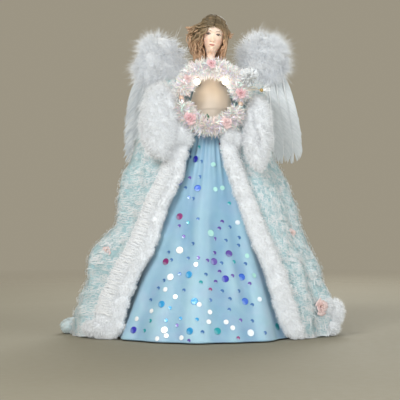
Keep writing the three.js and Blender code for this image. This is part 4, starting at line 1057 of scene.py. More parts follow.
def make_feather(node, name, body, ragged):
    low, high = box_of(node)
    heights = np.linspace(low[2] + 0.4 * MM, high[2] - 0.4 * MM, 40)
    edges, y = feather_edges(node, heights)
    edges = soften(edges, 1.2)
    share = np.linspace(0, 1, len(heights))
    if not ragged:
        half = np.diff(edges, axis=1) / 2
        tip = np.clip(share / ROUND_TIP_SHARE, 0, 1)[:, None]
        full = half[np.searchsorted(share, ROUND_TIP_SHARE)] * np.sqrt(1 - (1 - tip) ** 2)
        edges = np.where(tip < 1, edges.mean(1, keepdims=True) + full * (-1, 1), edges)
    middle = soften(edges @ (0.45, 0.55), 3)
    spine = np.stack([middle, y - 1.2 * MM * np.sin(share * math.pi), heights], -1)
    heap = Heap()
    radii = np.interp(share, [0, 0.1, 1], [0.15, 0.4, 1.0]) * MM
    heap.tubes(spine[None] - (0, 1.2 * MM, 0), radii[None], (0, 1, 0), (0.35, 1.0, 0.5), around=8)
    for edge, out in zip(edges.T, (-1, 1)):
        add_vane(heap, share, spine, edge, out, RAGGED if ragged else SMOOTH)
    if ragged:
        add_afterdown(heap, spine, 60)
    heap.piece(name, "feather", "feather", body, [node])


def add_afterdown(heap, spine, count):
    """Loose fluffy barbs near a feather's foot."""
    last = len(spine) - 1
    root = read_rows(rng.uniform(0.7, 0.95, count) * last, np.arange(last + 1), spine)[:, None]
    way = unit(np.stack([rng.choice([-1, 1], count), rng.normal(0, 0.3, count),
                         rng.normal(-0.4, 0.4, count)], -1))
    t = path_shares(6)
    sweep = way[:, None] * t + np.array((0, 0, -1)) * t ** 2 * 0.5
    paths = root + rng.uniform(8, 15, (count, 1, 1)) * MM * sweep
    heap.strips("afterdown", paths, [1, 1, 0.9, 0.7, 0.5, 0.1], tinted(paths, rng.random((count, 1))),
                side_of(way)[:, None])


def make_wings():
    for side, _ in SIDES:
        body = side + "_wing"
        make_down(side + "_wing_down", side + "_marabou", body)
        for number in (1, 2, 3):
            make_feather(f"{side}_feather_{number}", f"{side}_quill_{number}", body, side == "right")


# Wreath and collar


def clear_of_lamps(paths):
    """Which paths stay out of the way of the lamps as they are pulled."""
    clear = np.ones(len(paths), bool)
    for side, _ in SIDES:
        low, high = box_of(side + "_lamp")
        away = np.linalg.norm((paths - (low + high) / 2)[..., [0, 2]], axis=-1)
        clear &= away.min(1) > (high[0] - low[0]) / 2 + 1.0 * MM
    return clear


def lamp_glow(paths):
    """How much of the lamps' warm light falls on places near them, to be painted on as a glow."""
    near = np.zeros(paths.shape[:-1])
    for side, _ in SIDES:
        away = np.linalg.norm(paths - middle_of(side + "_lamp"), axis=-1)
        near += bump_at(away, 8.5 * MM) + 0.15 * bump_at(away, 15 * MM)
    return near.clip(0, 1)


def tinsel_round(heap, points, faces, count, length):
    """Bright film strips that stand out of a core in all ways."""
    places, normals = scattered(points, faces, count)
    way = unit(normals + rng.normal(0, 0.75, (count, 3)))
    curl = side_of(way)[:, None]
    tall = length * rng.uniform(0.5, 1.2, (count, 1, 1))
    t = path_shares(4)
    paths = places[:, None] + tall * (way[:, None] * t + curl * t ** 2 * rng.uniform(0, 0.7, (count, 1, 1)))
    # The tint's green darkens each strip towards its foot, as painted shade at the core, and its blue paints
    # the lamps' warm light on it as a glow
    tints = tinted(paths, rng.random((count, 1)), 0.55 + 0.45 * t[:, 0], lamp_glow(paths))
    taper = rng.uniform(0.5, 1.3, (count, 1)) * np.array([1, 1, 0.9, 0.35])
    kept = clear_of_lamps(paths)
    heap.strips("tinsel", paths[kept], taper[kept], tints[kept], flat_out(normals, way)[kept, None])


def ribbon_loops(heap, places, normals):
    """Small loops of film ribbon."""
    across = side_of(normals)
    turn = np.linspace(-0.4, TURN - 0.9, 11)[:, None]
    wide = 3.0 * MM * rng.uniform(0.7, 1.3, (len(places), 1, 1))
    paths = places[:, None] + wide * (normals[:, None] * (1 - np.cos(turn)) + across[:, None] * np.sin(turn))
    # The tint's blue paints the lamps' warm light on the loops as a glow
    tints = tinted(paths, rng.random((len(places), 1)), 1.0, lamp_glow(paths))
    kept = clear_of_lamps(paths)
    heap.strips("loop", paths[kept], 1, tints[kept], np.cross(normals, across)[kept, None])


def make_garland(node, name, body, count, length):
    points, faces = rounded_skin(node)
    core = swollen(points, faces, -2.4 * MM)
    # The core's tint darkens it a little, as painted shade under the tinsel
    heap = Heap().add(core, faces, (0.05, 0.8, 0))
    tinsel_round(heap, core, faces, count, length)
    ribbon_loops(heap, *scattered(core, faces, count // 28))
    heap.piece(name, "tinsel", "tinsel", body, [node])


def petal(heap, centre, axis, across, radius, opened, tall, colour):
    """One curled petal that wraps round the flower's axis, opened by a share."""
    a, b = np.linspace(-1, 1, 9), path_shares(7)
    spread = a * (0.75 - 0.2 * b) * 1.25
    out = (0.35 + 0.65 * b) * (0.4 + opened * (0.35 + 0.9 * b ** 2)) + 0.22 * opened * b ** 4
    out *= radius
    height = tall * b * ((1 - 0.28 * a ** 2) * (1.15 - 0.55 * opened) + 0.06 * np.sin(a * 5 + opened * 9))
    points = (centre + across * (out * np.cos(spread))[..., None]
              + np.cross(axis, across) * (out * np.sin(spread))[..., None] + axis * height[..., None])
    # Painted light and shade: each petal pales towards its rim, the open outer petals most, so the bud stays
    # darker deep inside
    pale = 0.75 * b * (0.4 + 0.6 * opened) * np.ones_like(a)
    heap.grid(points, over(INKS[colour], "pink_light", pale))


def make_rose(name, node, axis, colour, body, grow=1.0, centre=None, forward=0.0):
    """A ribbon rose: petals that open round a tight bud."""
    radius = 4.2 * MM * grow
    if node:
        low, high = box_of(node)
        centre = (low + high) / 2 - np.array(axis) * 0.3 * abs((high - low) @ np.abs(axis))
        radius = 0.34 * np.sort(high - low)[1:].mean() * grow
    axis = unit(np.array(axis, float))
    start = unit(np.cross(axis, (0.3, 0.5, 0.81)))
    heap = Heap()
    for k, share in enumerate(np.linspace(0, 1, 15)):
        across = turned_about(start, axis, np.array(k * 2.4))
        petal(heap, centre + axis * forward, axis, across, radius * (0.34 + 0.66 * share),
              0.08 + 0.85 * share, radius * (0.95 - 0.2 * share), colour)
    heap.piece(name, "ribbon", "petal", body, [node] if node else (), "petal")


def make_ruffle():
    """A pleated ribbon frill, with a loose fringe in its middle."""
    low, high = box_of("wreath_ruffle")
    centre = (low + high) / 2
    radius = (high[0] - low[0]) * 0.42
    turns, rows = circle(240), path_shares(12)
    heap = Heap()
    for layer, (reach, tilt) in enumerate([(1.0, 0.1), (0.78, -0.15), (0.52, 0.2)]):
        wave = np.sin(turns * 13 + 1.3 * np.sin(turns * 3 + layer)) + 0.5 * np.sin(turns * 22 + 2 * layer)
        ragged = 1 + 0.12 * np.sin(turns * 3 + 2 * layer) + 0.07 * np.sin(turns * 11)
        out = radius * reach * (0.05 + 0.95 * rows) * ragged
        depth = (1.5 + 1.2 * layer) * MM * rows + 1.9 * MM * wave * rows + tilt * out * np.cos(turns)
        # Painted shade and light: the pleats are grey in their hollows and white on their crests, and whiter
        # near the middle
        glow = np.maximum(smooth_step(-1.2, 1.0, wave), 1 - 2.5 * rows)
        heap.grid(centre + np.stack([out * np.cos(turns), -depth, out * np.sin(turns)], -1),
                  over(INKS["shade"], "white", glow), wrap=True)
    count, t = 460, path_shares(4)
    around = rng.uniform(0, TURN, count)
    out = unit(np.stack([np.cos(around), -rng.uniform(0.1, 4, count), np.sin(around)], -1))
    fringe = centre + out[:, None] * (1.0 * MM + rng.uniform(4, 12, (count, 1, 1)) * MM * t)
    fringe += side_of(out)[:, None] * 2.0 * MM * t ** 2
    heap.strips("fringe", fringe, [1, 1, 0.9, 0.5], INKS["white"], side_of(out)[:, None])
    heap.piece("wreath_frill", "ruffle", "petal", "arms", ["wreath_ruffle"], "frill")


def make_leaf():
    """A leaf whose blade is ribbed along its side veins and ragged along its rim."""
    low, high = box_of("wreath_leaf")
    middle = (low + high) / 2
    along, across = path_shares(22), np.linspace(-1, 1, 15)
    off = np.abs(across)
    half = (high[0] - low[0]) * 0.575 * np.sin(math.pi * along ** 0.85) ** 0.8
    half *= 1 + 0.06 * np.sin(along * 60)
    ribs = 0.25 * MM * np.cos((along * 9 - off * 1.2) * TURN * 0.8) * off
    y = middle[1] - 0.6 * MM * (1 - off) ** 0.7 - 0.9 * MM * np.sin(along * 3) + ribs
    z = low[2] + (high[2] - low[2]) * along - 0.6 * MM * off
    vein = bump_at(across, 0.09) + 0.4 * bump_at(np.sin((along * 7 - off) * math.pi), 0.25)
    tints = over(INKS["green"], "mint", 0.4 * np.clip(vein, 0, 1))
    Heap().grid(np.stack([middle[0] + across * half, y, z], -1), tints).piece(
        "leaf_blade", "leaf", "leaf", "arms", ["wreath_leaf"], "leaf")


def ball(heap, centre, radius, tint=PLAIN_TINT, stretch=(1, 1, 1)):
    rise, turns = np.linspace(-math.pi / 2 + 0.02, math.pi / 2 - 0.02, 14)[:, None], circle(20)
    points = np.stack([np.cos(rise) * np.cos(turns), np.cos(rise) * np.sin(turns),
                       np.sin(rise) * np.ones_like(turns)], -1)
    heap.grid(points * radius * np.array(stretch) + centre, tint, wrap=True)


def make_berry():
    """A gold bead on a wound stem, with cream strands and white spikes."""
    low, high = box_of("berry_pick")
    foot = np.array((low[0], *(low + high)[1:] / 2))
    bead = np.array((high[0] - (high[2] - low[2]) / 2, *foot[1:]))
    heap = Heap()
    ball(heap, bead, (high[2] - low[2]) * 0.38, INKS["gold"])
    t = path_shares(60)
    core = foot + (bead - foot) * t + 1.2 * MM * np.sin(t * math.pi) * (0, 0, 1)
    heap.tubes(core[None], 0.55 * MM, (0, 1, 0), INKS["cream"], around=8)
    wind = core + 0.75 * MM * (np.cos(t * 95) * (0, 1, 0) + np.sin(t * 95) * (0, 0, 1))
    heap.tubes(wind[None], 0.22 * MM, (1, 0, 0), INKS["champagne"])
    for _ in range(5):
        sway = rng.normal(0, 1.6, 2) * MM
        strand = core + sway[0] * np.sin(t * 3) * (0, 1, 0) + sway[1] * np.sin(t * 4) * (0, 0, 1)
        heap.tubes(strand[None], 0.3 * MM, (0, 1, 0), INKS["cream"])
    count = 16
    way = unit(np.stack([rng.uniform(0.6, 1.2, count), rng.normal(0, 0.35, count),
                         rng.normal(0, 0.6, count)], -1))
    spikes = bead + way[:, None] * (2.4 * MM + rng.uniform(7, 15, (count, 1, 1)) * MM * path_shares(5))
    heap.strips("spike", spikes, [1, 1, 0.8, 0.5, 0.1], INKS["white"], side_of(way)[:, None])
    heap.piece("berry_spray", "berry", "berry", "arms", ["berry_pick"])


# The wreath's roses, and the coat's with their size and how far they stand forward, in mm
WREATH_ROSES = [("pink", 1), ("pink_pale", 0.9), ("pink", 0.85), ("pink_pale", 0.65)]
COAT_ROSES = [(1.3, 4.0), (0.75, 2.0), (0.75, 2.0)]


def make_wreath():
    make_garland("garland_upper", "upper_tinsel", "arms", 8500, 10 * MM)
    make_garland("garland_lower", "lower_tinsel", "arms", 5500, 10 * MM)
    make_garland("collar_garland", "collar_tinsel", "figure", 2800, 5.5 * MM)
    for number, (colour, grow) in enumerate(WREATH_ROSES, 1):
        make_rose(f"wreath_flower_{number}", f"wreath_rose_{number}", (0, -1, 0), colour, "arms", grow)
    make_ruffle()
    make_leaf()
    make_berry()
    low, high = box_of("garland_upper")
    top = np.array((0, low[1] - 1.0 * MM, high[2] - 3.0 * MM))
    make_rose("garland_flower", None, (0, -1, 0.2), "pink", "arms", 0.9, top)
    for number, (grow, forward) in enumerate(COAT_ROSES, 1):
        node = f"coat_rose_{number}"
        out = unit(middle_of(node) * (1, 1, 0) - (0, 0.14, 0))
        make_rose(f"coat_flower_{number}", node, out, "peach", "figure", grow, forward=forward * MM)


# Bodice, band and sleeves


def make_bodice():
    """Satin over the bust, drawn in under a seam below it."""
    low, high = box_of("torso")
    radii, turns, heights = round_skin(["torso"], 180, 90, 0.2 * MM, 0.4 * MM)
    radii = smoothed(filled(radii), 5, 1.2)
    seam = low[2] + 0.44 * (high[2] - low[2])
    under = smooth_step(seam + 0.5 * MM, seam - 0.7 * MM, heights)[:, None]
    creases = waves(ring_points(radii, turns, heights) * (1, 1, 0.3), 20 * MM)
    points = ring_points(radii - 0.7 * MM * under + 0.12 * MM * creases, turns, heights)
    cloth = Heap().grid(points, wrap=True)
    piece = cloth.piece("bodice_cloth", "satin", "bodice", "figure", ["torso"], "bodice")
    sheet_of(Cloth(points, closed=True))


def make_band():
    """A satin ribbon with both its edges turned in behind."""
    low, high = box_of("waist_band")
    turns, middle = circle(240), (low[2] + high[2]) / 2
    radii = soften(filled(polar_radii(tree_of("waist_band"), turns, [middle])), 5, 1, True)
    across = np.linspace(-1, 1, 25)
    off = np.abs(across)
    tall = (high[2] - low[2]) / 2 - 0.1 * MM
    folded = np.minimum(1, np.where(off < 0.55, off / 0.55, (1.08 - off) / 0.5))
    inward = 0.9 * MM * smooth_step(0.5, 0.62, off) + 0.15 * MM * np.cos(across * 9)
    points = ring_points(radii - inward[:, None], turns, middle + tall * np.sign(across) * folded)
    cloth = Heap().grid(points, wrap=True)
    piece = cloth.piece("waist_ribbon", "ribbon", "band", "figure", ["waist_band"], "band")
    sheet_of(Cloth(points, closed=True))


def make_sleeves():
    for side, sign in SIDES:
        points, faces = rounded_skin(side + "_sleeve", 2)
        points = swollen(points, faces, 0.5 * MM * waves(points * (1, 1.6, 1), 9 * MM) - 0.3 * MM)
        cloth, cords = Heap().add(points, faces), Heap()
        cords_on(cords, points, faces, 900)
        for part in (cloth.piece(side + "_sleeve_cloth", "sleeve", "sleeve", replaces=[side + "_sleeve"]),
                     cords.piece(side + "_sleeve_lace", "sleeve", "lace")):
            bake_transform(part)


# Head, hair and hands

FACE = {"height": 43 * MM, "half_width": 15 * MM, "front": 17 * MM, "back": 17.5 * MM}
HEAD_TILT = math.radians(8)
# The eyes, the nose's foot and the mouth: rise from the chin as shares of the face's height. Then how
# far the eyes are from the middle, as a share of its half width
FEATURE_RISE_SHARES = (0.49, 0.31, 0.185)
EYE_SPREAD_SHARE = 0.4
# How much narrower the crown is under the hair
CROWN_DROP = 0.12
# Rows of the head from the neck's foot to the crown: rise from the chin as a share of the
# face's height, then the half width, front and back as shares of the skull's.
HEAD_ROW_SHARES = [
    (-0.6, 0.5, 0.42, 0.42), (-0.35, 0.38, 0.34, 0.38), (-0.16, 0.36, 0.33, 0.44), (-0.05, 0.38, 0.36, 0.54),
    (-0.01, 0.43, 0.62, 0.6), (0.03, 0.46, 0.84, 0.64), (0.09, 0.52, 0.9, 0.7), (0.18, 0.66, 0.92, 0.8),
    (0.32, 0.83, 0.92, 0.93), (0.45, 0.92, 0.93, 1), (0.6, 0.97, 0.96, 1.02), (0.73, 0.97, 0.94, 1),
    (0.84, 0.88, 0.83, 0.9), (0.92, 0.69, 0.64, 0.7), (0.97, 0.45, 0.42, 0.46), (1, 0.04, 0.04, 0.04),
]


def skull():
    """The middle of the head's axis, and the chin's height and the crown's."""
    x, y, _ = middle_of("head")
    crown = box_of("head")[1][2]
    return np.array((x, y)), crown - FACE["height"], crown


def features():
    """How high above the chin the eyes, the nose and the mouth are and how far out the eyes, in mm."""
    rises = [share * FACE["height"] / MM for share in FEATURE_RISE_SHARES]
    return (*rises, EYE_SPREAD_SHARE * FACE["half_width"] / MM)


def face_relief(x, z):
    """How far the face stands out of the plain head, all in mm from the chin."""
    eye, nose, mouth, spread = features()
    bridge = smooth_step(eye, nose, z)
    ridge = smooth_step(eye + 3, nose, z) * smooth_step(nose - 2.2, nose - 0.4, z)
    out = (0.8 + 2.6 * bridge) * ridge * bump_at(x, 1.3 + 0.7 * bridge)
    # Eye sockets, eyeballs, brows, cheeks and nostrils: place, half widths and height
    paired = [(spread, eye, 3.4, 2.5, -1.5), (spread, eye - 0.1, 2.3, 1.3, 1.35),
              (spread * 1.05, eye + 4.2, 4.2, 1.2, 0.45), (spread * 1.2, nose + 0.6, 3.6, 3.4, 0.9),
              (1.7, nose - 0.3, 0.9, 0.9, 0.7)]
    # The lips, the line between them, the dip under them and the chin
    single = [(0, mouth + 0.8, 2.5, 0.7, 1.0), (0, mouth - 1.0, 2.5, 0.85, 1.15),
              (0, mouth, 3.2, 0.28, -0.5), (0, mouth - 2.9, 3.0, 0.8, -0.5), (0, 2.6, 3.4, 2.0, 0.9)]
    mirrored = [(-across, *rest) for across, *rest in paired]
    for across, up, wide, tall, height in paired + mirrored + single:
        out += height * bump_at(x - across, wide) * bump_at(z - up, tall)
    return out


def face_paint(x, z, front):
    """Painted skin, eyes, brows, cheeks and lips, all in mm from the chin, with painted shade in the creases
    over the eyes and under the chin and a painted highlight in each eye.
    """
    eye, nose, mouth, spread = features()
    soft = 0.14
    paint = np.broadcast_to(INKS["skin"], x.shape + (3,))
    for side in (-1, 1):
        dx, dz = x - side * spread, z - eye
        paint = over(paint, "blush", 0.4 * front * bump_at(x - side * 8, 2.6) * bump_at(z - nose, 2.6))
        arch = np.clip(1 - (dx / 2.9) ** 2, 0, 1)
        upper, lower = 1.25 * arch ** 0.8, -0.9 * arch
        wide = smooth_step(3.0, 2.7, np.abs(dx)) * front
        inside = smooth_step(-soft, soft, upper - dz) * smooth_step(-soft, soft, dz - lower) * wide
        # Painted shade in the crease over each eye
        paint = over(paint, "skin_deep", 0.35 * front * bump_at(dz - 1.9, 0.6) * bump_at(dx, 2.2))
        paint = over(paint, "eye_white", inside)
        far = np.hypot(dx + side * 0.1, dz - 0.15)
        paint = over(paint, "iris", inside * smooth_step(1.5, 1.3, far))
        paint = over(paint, "pupil", inside * smooth_step(0.8, 0.6, far))
        # A painted highlight in each eye
        paint = over(paint, "white", inside * smooth_step(0.3, 0.14, np.hypot(dx - 0.35, dz - 0.5)))
        paint = over(paint, "lash", wide * smooth_step(0.7, 0.3, np.abs(dz - upper)))
        paint = over(paint, "brow", 0.4 * wide * smooth_step(0.3, 0.1, np.abs(dz - lower)))
        arc = 3.7 + 0.9 * (1 - ((dx - side * 0.8) / 3.6) ** 2)
        along = smooth_step(3.6, 2.9, np.abs(dx - side * 0.3)) * front
        paint = over(paint, "brow", 0.8 * along * smooth_step(0.6, 0.2, np.abs(dz - arc)))
    mouth = mouth + 0.5 * np.clip((x / 3.5) ** 2, 0, 1.4)
    bow = np.clip(1 - (x / 3.5) ** 2, 0, 1)
    above, below = mouth + 1.15 * bow ** 0.7 - 0.25 * bump_at(x, 0.6), mouth - 1.35 * bow ** 0.8
    lips = smooth_step(-soft, soft, above - z) * smooth_step(-soft, soft, z - below) * front * (bow > 0)
    paint = over(paint, "lips", 0.85 * lips)
    paint = over(paint, "lash", 0.5 * smooth_step(0.2, 0.06, np.abs(z - mouth)) * (bow > 0.02) * front)
    # Painted shadow under the chin
    return over(paint, "skin_deep", 0.3 * bump_at(x, 6) * smooth_step(1, -1, z) * smooth_step(-12, -3, z))


def make_head():
    """The head and neck: rows of soft ovals, with the face raised and painted on them."""
    middle, chin, crown = skull()
    foot, brow = box_of("head")[0][2] + 0.2 * MM, chin + 0.8 * FACE["height"]
    dense = np.linspace(-1, 1, 301)[:-1]
    turns = (0.55 * dense + 0.45 * np.sign(dense) * np.abs(dense) ** 3) * math.pi
    rows = np.concatenate([np.linspace(foot, chin - 3 * MM, 16)[:-1],
                           np.linspace(chin - 3 * MM, brow, 150)[:-1],
                           np.linspace(brow, crown - 0.2 * MM, 30)])
    share = (rows - chin) / FACE["height"]
    keys = np.array(HEAD_ROW_SHARES)
    fine = np.linspace(keys[0, 0], keys[-1, 0], 400)
    sizes = read_rows(share, fine, soften(read_rows(fine, keys[:, 0], keys[:, 1:]), 7))
    cap = np.sqrt(np.clip(1 - np.clip((share - 0.55) / 0.45, 0, 1) ** 2.6, 0.0004, 1))
    cap *= 1 - CROWN_DROP * smooth_step(0.72, 0.86, share)
    sizes = np.where(share[:, None] > 0.55, cap[:, None] * (1.0, 0.955, 0.97), sizes)
    half, front, back = (sizes * (FACE["half_width"], FACE["front"], FACE["back"])).T[..., None]
    sine, cosine = np.sin(turns), np.cos(turns)
    power = 2 - 0.62 * bump_at(share - 0.06, 0.08)[:, None] * (cosine > 0)
    depth = np.where(cosine > 0, front, back)
    radius = (np.abs(sine / half) ** power + np.abs(cosine / depth) ** power) ** (-1 / power)
    x, z = radius * sine, np.broadcast_to(rows[:, None], radius.shape)
    facing = smooth_step(0.15, 0.6, np.broadcast_to(cosine, x.shape))
    y = -radius * cosine - face_relief(x / MM, (z - chin) / MM) * MM * facing
    shift = smooth_step(-0.3, 0.12, share)[:, None]
    points = np.stack([x + middle[0] * shift, y + middle[1] * shift, z], -1)
    paint = face_paint(x / MM, (z - chin) / MM, facing)
    Heap().grid(tilted(points), paint, wrap=True).piece("head_sculpt", "skin", "face", "figure", ["head"])


def tilted(points):
    """Leans the head to its own left about its middle, and leaves the neck upright."""
    middle, chin, _ = skull()
    pivot = np.array((middle[0], 0, chin + FACE["height"] / 2))
    angle = HEAD_TILT * smooth_step(-0.3, 0.1, (points[..., 2] - chin) / FACE["height"])
    return pivot + turned_about(points - pivot, np.array((0, 1, 0)), angle)


def hair_lock(heap, knots, radius, tone, curl, turns, layer):
    """One wavy tapered lock through four knots, kept outside the skull."""
    t = path_shares(26)
    p0, p1, p2, p3 = knots
    path = p0 * (1 - t) ** 3 + 3 * p1 * t * (1 - t) ** 2 + 3 * p2 * t ** 2 * (1 - t) + p3 * t ** 3
    centre, size = skull_ball()
    away = (path - centre) / size
    far = np.linalg.norm(away, axis=1, keepdims=True)
    path = centre + away * np.where(path[:, 2:] > centre[2] - size[2], np.maximum(1, layer / far), 1) * size
    outward = unit(path - centre)
    across = unit(np.cross(unit(np.gradient(path, axis=0)), outward))
    swing = TURN * turns * t + rng.uniform(0, TURN)
    wave = (across * np.sin(swing) + outward * 0.5 * np.cos(swing)) * curl * MM
    path = path + wave * smooth_step(-0.15, 0.4, t)
    wide = radius * np.interp(t[:, 0], [0, 0.15, 0.6, 0.9, 1], [0.5, 1, 1, 0.6, 0.12])
    tints = tinted(path, np.clip(tone + 0.6 * t[:, 0] ** 1.3, 0, 1), rng.uniform(0.0, 1.0))
    heap.tubes(path[None], wide[None], outward[None], tints, around=8, flat=0.7)


def skull_ball():
    """The middle and half sizes of the ball that the hair lies on."""
    middle, chin, _ = skull()
    centre = np.array((*middle, chin + 0.52 * FACE["height"]))
    return centre, np.array((FACE["half_width"] * 1.06, FACE["front"] * 1.04, FACE["height"] * 0.5))


def on_skull(turn, polar, grow):
    centre, size = skull_ball()
    way = np.array((math.sin(turn) * math.sin(polar), -math.cos(turn) * math.sin(polar), math.cos(polar)))
    return tilted(centre + way * size * grow)


# Where the locks end: low and high corners of the ends' boxes, in mm
HAIR_ENDS = {
    "right": [(-19, -11, 334), (-7, 5, 348)], "right_fall": [(-51, -9, 358), (-28, 8, 388)],
    "right_near": [(-23, -7, 358), (-13, 6, 376)], "right_back": [(-20, 4, 337), (-8, 14, 350)],
    "left": [(11, -9, 344), (17, 5, 357)], "left_fall": [(19, -7, 356), (26, 7, 371)],
    "left_near": [(16, -8, 356), (21, 6, 370)], "left_back": [(7, 4, 341), (18, 14, 354)],
    "back": [(-15, 13, 338), (13, 20, 351)],
}
# Tips of the outward curls: the side and the place in mm
HAIR_FLICKS = [(-1, (-32.5, -4, 383.5)), (-1, (-32, -5, 374)), (-1, (-29, -4, 364)), (1, (28.5, -3, 375))]


def within(box):
    return rng.uniform(*HAIR_ENDS[box]) * MM


def make_hair():
    """Sculpted locks from a middle parting: a full curly fall at one side, a slim one at the other."""
    heap = Heap()
    turns, reaches = circle(60), np.linspace(0.01, 1, 24)
    limit = 1.14 + 1.23 * smooth_step(0.85, 1.4, math.pi - np.abs(turns - math.pi))
    cap = np.array([[on_skull(turn, reach * edge, 1.07) for turn, edge in zip(turns, limit)]
                    for reach in reaches])
    heap.grid(cap, tinted(cap, 0.12 + 0.5 * reaches[:, None] ** 2, 0.4, 0.4), wrap=True)
    for k in range(380):
        share = rng.random() ** 0.8
        name, side = SIDES[k % 2]
        start = on_skull(0.02 * side, 1.2 - 1.73 * share, 1.07)
        turn = side * (1.3 + 1.75 * share)
        crest = on_skull(turn * (0.48 + 0.44 * share), 1.12 - 0.27 * share, rng.uniform(1.09, 1.17))
        zone = name if share < 0.45 else name + "_back" if share < 0.75 else "back"
        ear = within(name + rng.choice(["_fall", "_near"])) if zone == name else on_skull(turn, 1.6, 1.18)
        curl, bends = ((1.5, 2.8), (3.2, 5.2)) if side < 0 else ((0.8, 1.4), (2.2, 3.8))
        hair_lock(heap, (start, crest, ear, within(zone)), rng.uniform(0.9, 1.6) * MM, rng.uniform(0, 0.35),
                  rng.uniform(*curl), rng.uniform(*bends), rng.uniform(1.06, 1.16))
    for side, tip in HAIR_FLICKS:
        for k in range(9):
            root = on_skull(side * 0.5, 0.5 + 0.06 * k, 1.1)
            crest = on_skull(side * (1.0 + 0.05 * k), 1.0 + 0.03 * k, 1.2)
            knee = np.array((side * 23, rng.uniform(-6, 3), tip[2] - 3 - 0.6 * k)) * MM
            end = (np.array(tip) + (-side * 0.5 * k, rng.uniform(-2, 2), -0.8 * k)) * MM
            hair_lock(heap, (root, crest, knee, end), 1.2 * MM, 0.05 + 0.05 * k, 1.0, 3.4, 1.1)
    heap.piece("hair_sculpt", "hair", "hair", "figure", ["hair"])


def make_hand(side, sign):
    """A small moulded hand whose fingers close round the wreath's ring."""
    low, high = box_of(side + "_hand")
    middle, (width, length, height) = (low + high) / 2, high - low
    heap = Heap()
    ball(heap, middle + (sign * 0.8 * MM, length * 0.12, 0), 1.0,
         stretch=(width * 0.36, length * 0.3, height * 0.44))
    wrist = middle + (sign * 1.0 * MM, length * 0.3, 0) + path_shares(3) * (0, length * 0.2, 0)
    heap.tubes(wrist[None], np.array([[2.9, 2.6, 2.5]]) * MM, (0, 0, 1), PLAIN_TINT, around=14)
    thumb = middle + np.array([(-0.5 * sign, 2, 3.4), (-3 * sign, -1.5, 3.6), (-3.2 * sign, -4.5, 1.8)]) * MM
    digits = []
    for k in range(4):
        z = middle[2] + (k - 1.5) * height * 0.21
        knots = ((middle[0] + sign * 1.8 * MM, low[1] + length * 0.42, z),
                 (middle[0] + sign * 2.2 * MM, low[1] + 0.5 * MM, z),
                 (middle[0] - sign * (2.6 - 0.3 * abs(k - 1)) * MM, low[1] + 2.2 * MM, z - 0.4 * MM))
        digits.append((np.array(knots), [0, 0.7, 0.95, 1], [1.15, 1.0, 0.75, 0.2]))
    digits.append((thumb, [0, 0.8, 1], [1.3, 1.0, 0.2]))
    t = path_shares(12)
    for knots, places, radii in digits:
        thick = np.interp(t[:, 0], places, radii)[None] * MM
        heap.tubes(bent(*knots, t)[None], thick, (0, 0, 1), PLAIN_TINT, around=10)
    piece = heap.piece(side + "_hand_sculpt", "skin", "hand", "arms", [side + "_hand"])
    remesh = piece.modifiers.new("fuse", "REMESH")
    remesh.mode, remesh.voxel_size, remesh.use_smooth_shade = "VOXEL", 0.3 * MM, True
    soft = piece.modifiers.new("soften", "SMOOTH")
    soft.factor, soft.iterations = 0.5, 3


# Lamps and the carried CAD nodes


def make_lamp(node):
    """A rice lamp: a smooth glass lens on its base, along the same axis as the node's."""
    points, _ = node_skin(node)
    low, high = box_of(node)
    x, _, z = middle_of(node)
    radii = np.hypot(points[:, 0] - x, points[:, 2] - z)
    steps = np.unique(points[:, 1].round(5))
    widest = [radii[np.abs(points[:, 1] - y) < 0.02 * MM].max() for y in steps]
    ys = np.linspace(low[1] + 0.05 * MM, high[1] - 0.05 * MM, 60)
    wide = soften(np.interp(ys, steps, widest), 2.2) * 1.02
    wide[0], wide[-1] = 0.1 * MM, 0.3 * MM
    wide, turns = wide[:, None], circle(28)
    points = np.stack([x + wide * np.cos(turns), ys[:, None] + 0 * turns, z + wide * np.sin(turns)], -1)
    Heap().grid(points, wrap=True).piece(node + "_glass", "glass", "lamp", node, [node])


CARRIED = {
    "base_hoop": "plastic", "base_cone": "board", "cone_cap": "plastic", "neck_dowel": "wood",
    "right_lamp_socket": "socket", "left_lamp_socket": "socket", "right_lamp_lead": "lead",
    "left_lamp_lead": "lead", "lead_splice": "lead", "supply_lead": "lead", "lead_clip": "plastic",
    "wing_bracket": "bracket", "right_wing_pin": "wire", "left_wing_pin": "wire", "arm_wire": "wire",
    "wreath_hoop": "wire", "right_wing_stem": "plastic", "left_wing_stem": "plastic",
}


def finish_carried():
    for node, finish in CARRIED.items():
        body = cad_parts[node]
        body.data.materials.clear()
        body.data.materials.append(FINISHES[finish])
        body.data.polygons.foreach_set("use_smooth", np.full(len(body.data.polygons), True))
        body.modifiers.new("weld", "WELD").merge_threshold = 0.005 * MM
        body.modifiers.new("edges", "EDGE_SPLIT").split_angle = math.radians(32)


# Studio

FLOOR_REACH = 1.8
# The lights: name, place, width, power and colour. They all face the angel's middle
LIT_AT = (0, 0, 0.2)
LIGHTS = [("key", (-0.9, -1.5, 1.3), 0.8, 26, (0.96, 0.985, 1.0)),
          ("fill", (1.4, -1.2, 0.6), 1.3, 11.5, (0.88, 0.95, 1.0)),
          ("front", (0, -1.6, 0.25), 1.0, 7.5, (0.94, 0.98, 1.0)),
          ("rim", (0.3, 1.3, 1.0), 1.0, 16, (0.95, 0.98, 1.0))]
BACKDROP = (0.335, 0.302, 0.232, 1)


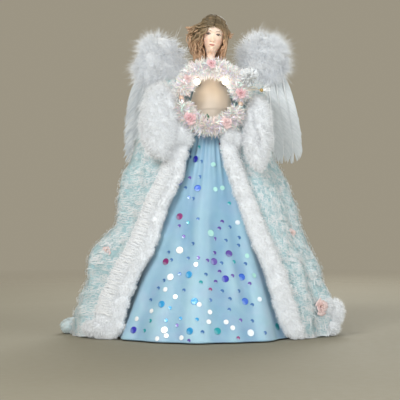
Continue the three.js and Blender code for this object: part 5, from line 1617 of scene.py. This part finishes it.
def floor_finish():
    """Plain pale paper that fades out far from the figure."""
    made = Finish("floor_paper")
    made.set(Base_Color=made.ramp(made.noise(3), ["floor", "wall"], 0.3, 0.7))
    away = made.node("VectorMath", {0: made.place})
    away.operation = "LENGTH"
    fade = made.node("MapRange", Value=away.outputs["Value"], From_Min=0.6, From_Max=1.7, To_Min=1.0,
                     To_Max=0.0)
    made.set(Alpha=fade.outputs[0])
    made.rough(0.8, 0.9, 100)
    return made.relief(made.noise(200), 0.05, 0.3 * MM).material


def make_studio():
    steps = np.linspace(-FLOOR_REACH, FLOOR_REACH, 25)
    xs, ys = np.meshgrid(steps, steps)
    floor = Heap().grid(np.stack([xs, ys, np.full_like(xs, -0.5 * MM)], -1))
    floor.mesh("studio_floor", floor_finish())


def make_lights():
    for name, place, size, power, colour in LIGHTS:
        light = bpy.data.lights.new(name, "AREA")
        light.shape, light.size, light.energy, light.color = "DISK", size, power, colour
        holder = put(name, light)
        holder.location = place
        holder.rotation_euler = (Vector(LIT_AT) - Vector(place)).to_track_quat("-Z", "Y").to_euler()
    world = bpy.data.worlds.new("studio")
    world.use_nodes = True
    world.node_tree.nodes["Background"].inputs["Color"].default_value = BACKDROP
    world.node_tree.nodes["Background"].inputs["Strength"].default_value = 1.0
    bpy.context.scene.world = world


def make_camera():
    lens = bpy.data.cameras.new("camera")
    lens.sensor_width = SENSOR
    lens.lens = FOCAL_PIXELS * SENSOR / PICTURE_SIDE
    lens.clip_start, lens.clip_end = 0.05, 20
    holder = put("camera", lens)
    holder.location = CAMERA_AT
    holder.rotation_euler = (math.pi / 2, 0, 0)
    bpy.context.scene.camera = holder
    bpy.context.scene.view_settings.view_transform = "Standard"


# Assembly

finish_carried()
skirt, hem_roll, skirt_grid = make_skirt()
sequins = make_sequins(skirt_grid)
sheet_of(skirt_grid)
coat, coat_grid = make_coat()
lace = make_lace(coat_grid)
make_plush()
sheet_of(coat_grid)
make_wings()
make_wreath()
make_bodice()
make_band()
make_sleeves()
make_head()
make_hair()
for hand_side, hand_sign in SIDES:
    make_hand(hand_side, hand_sign)
for lamp_side, _ in SIDES:
    make_lamp(lamp_side + "_lamp")
make_studio()
make_lights()
make_camera()
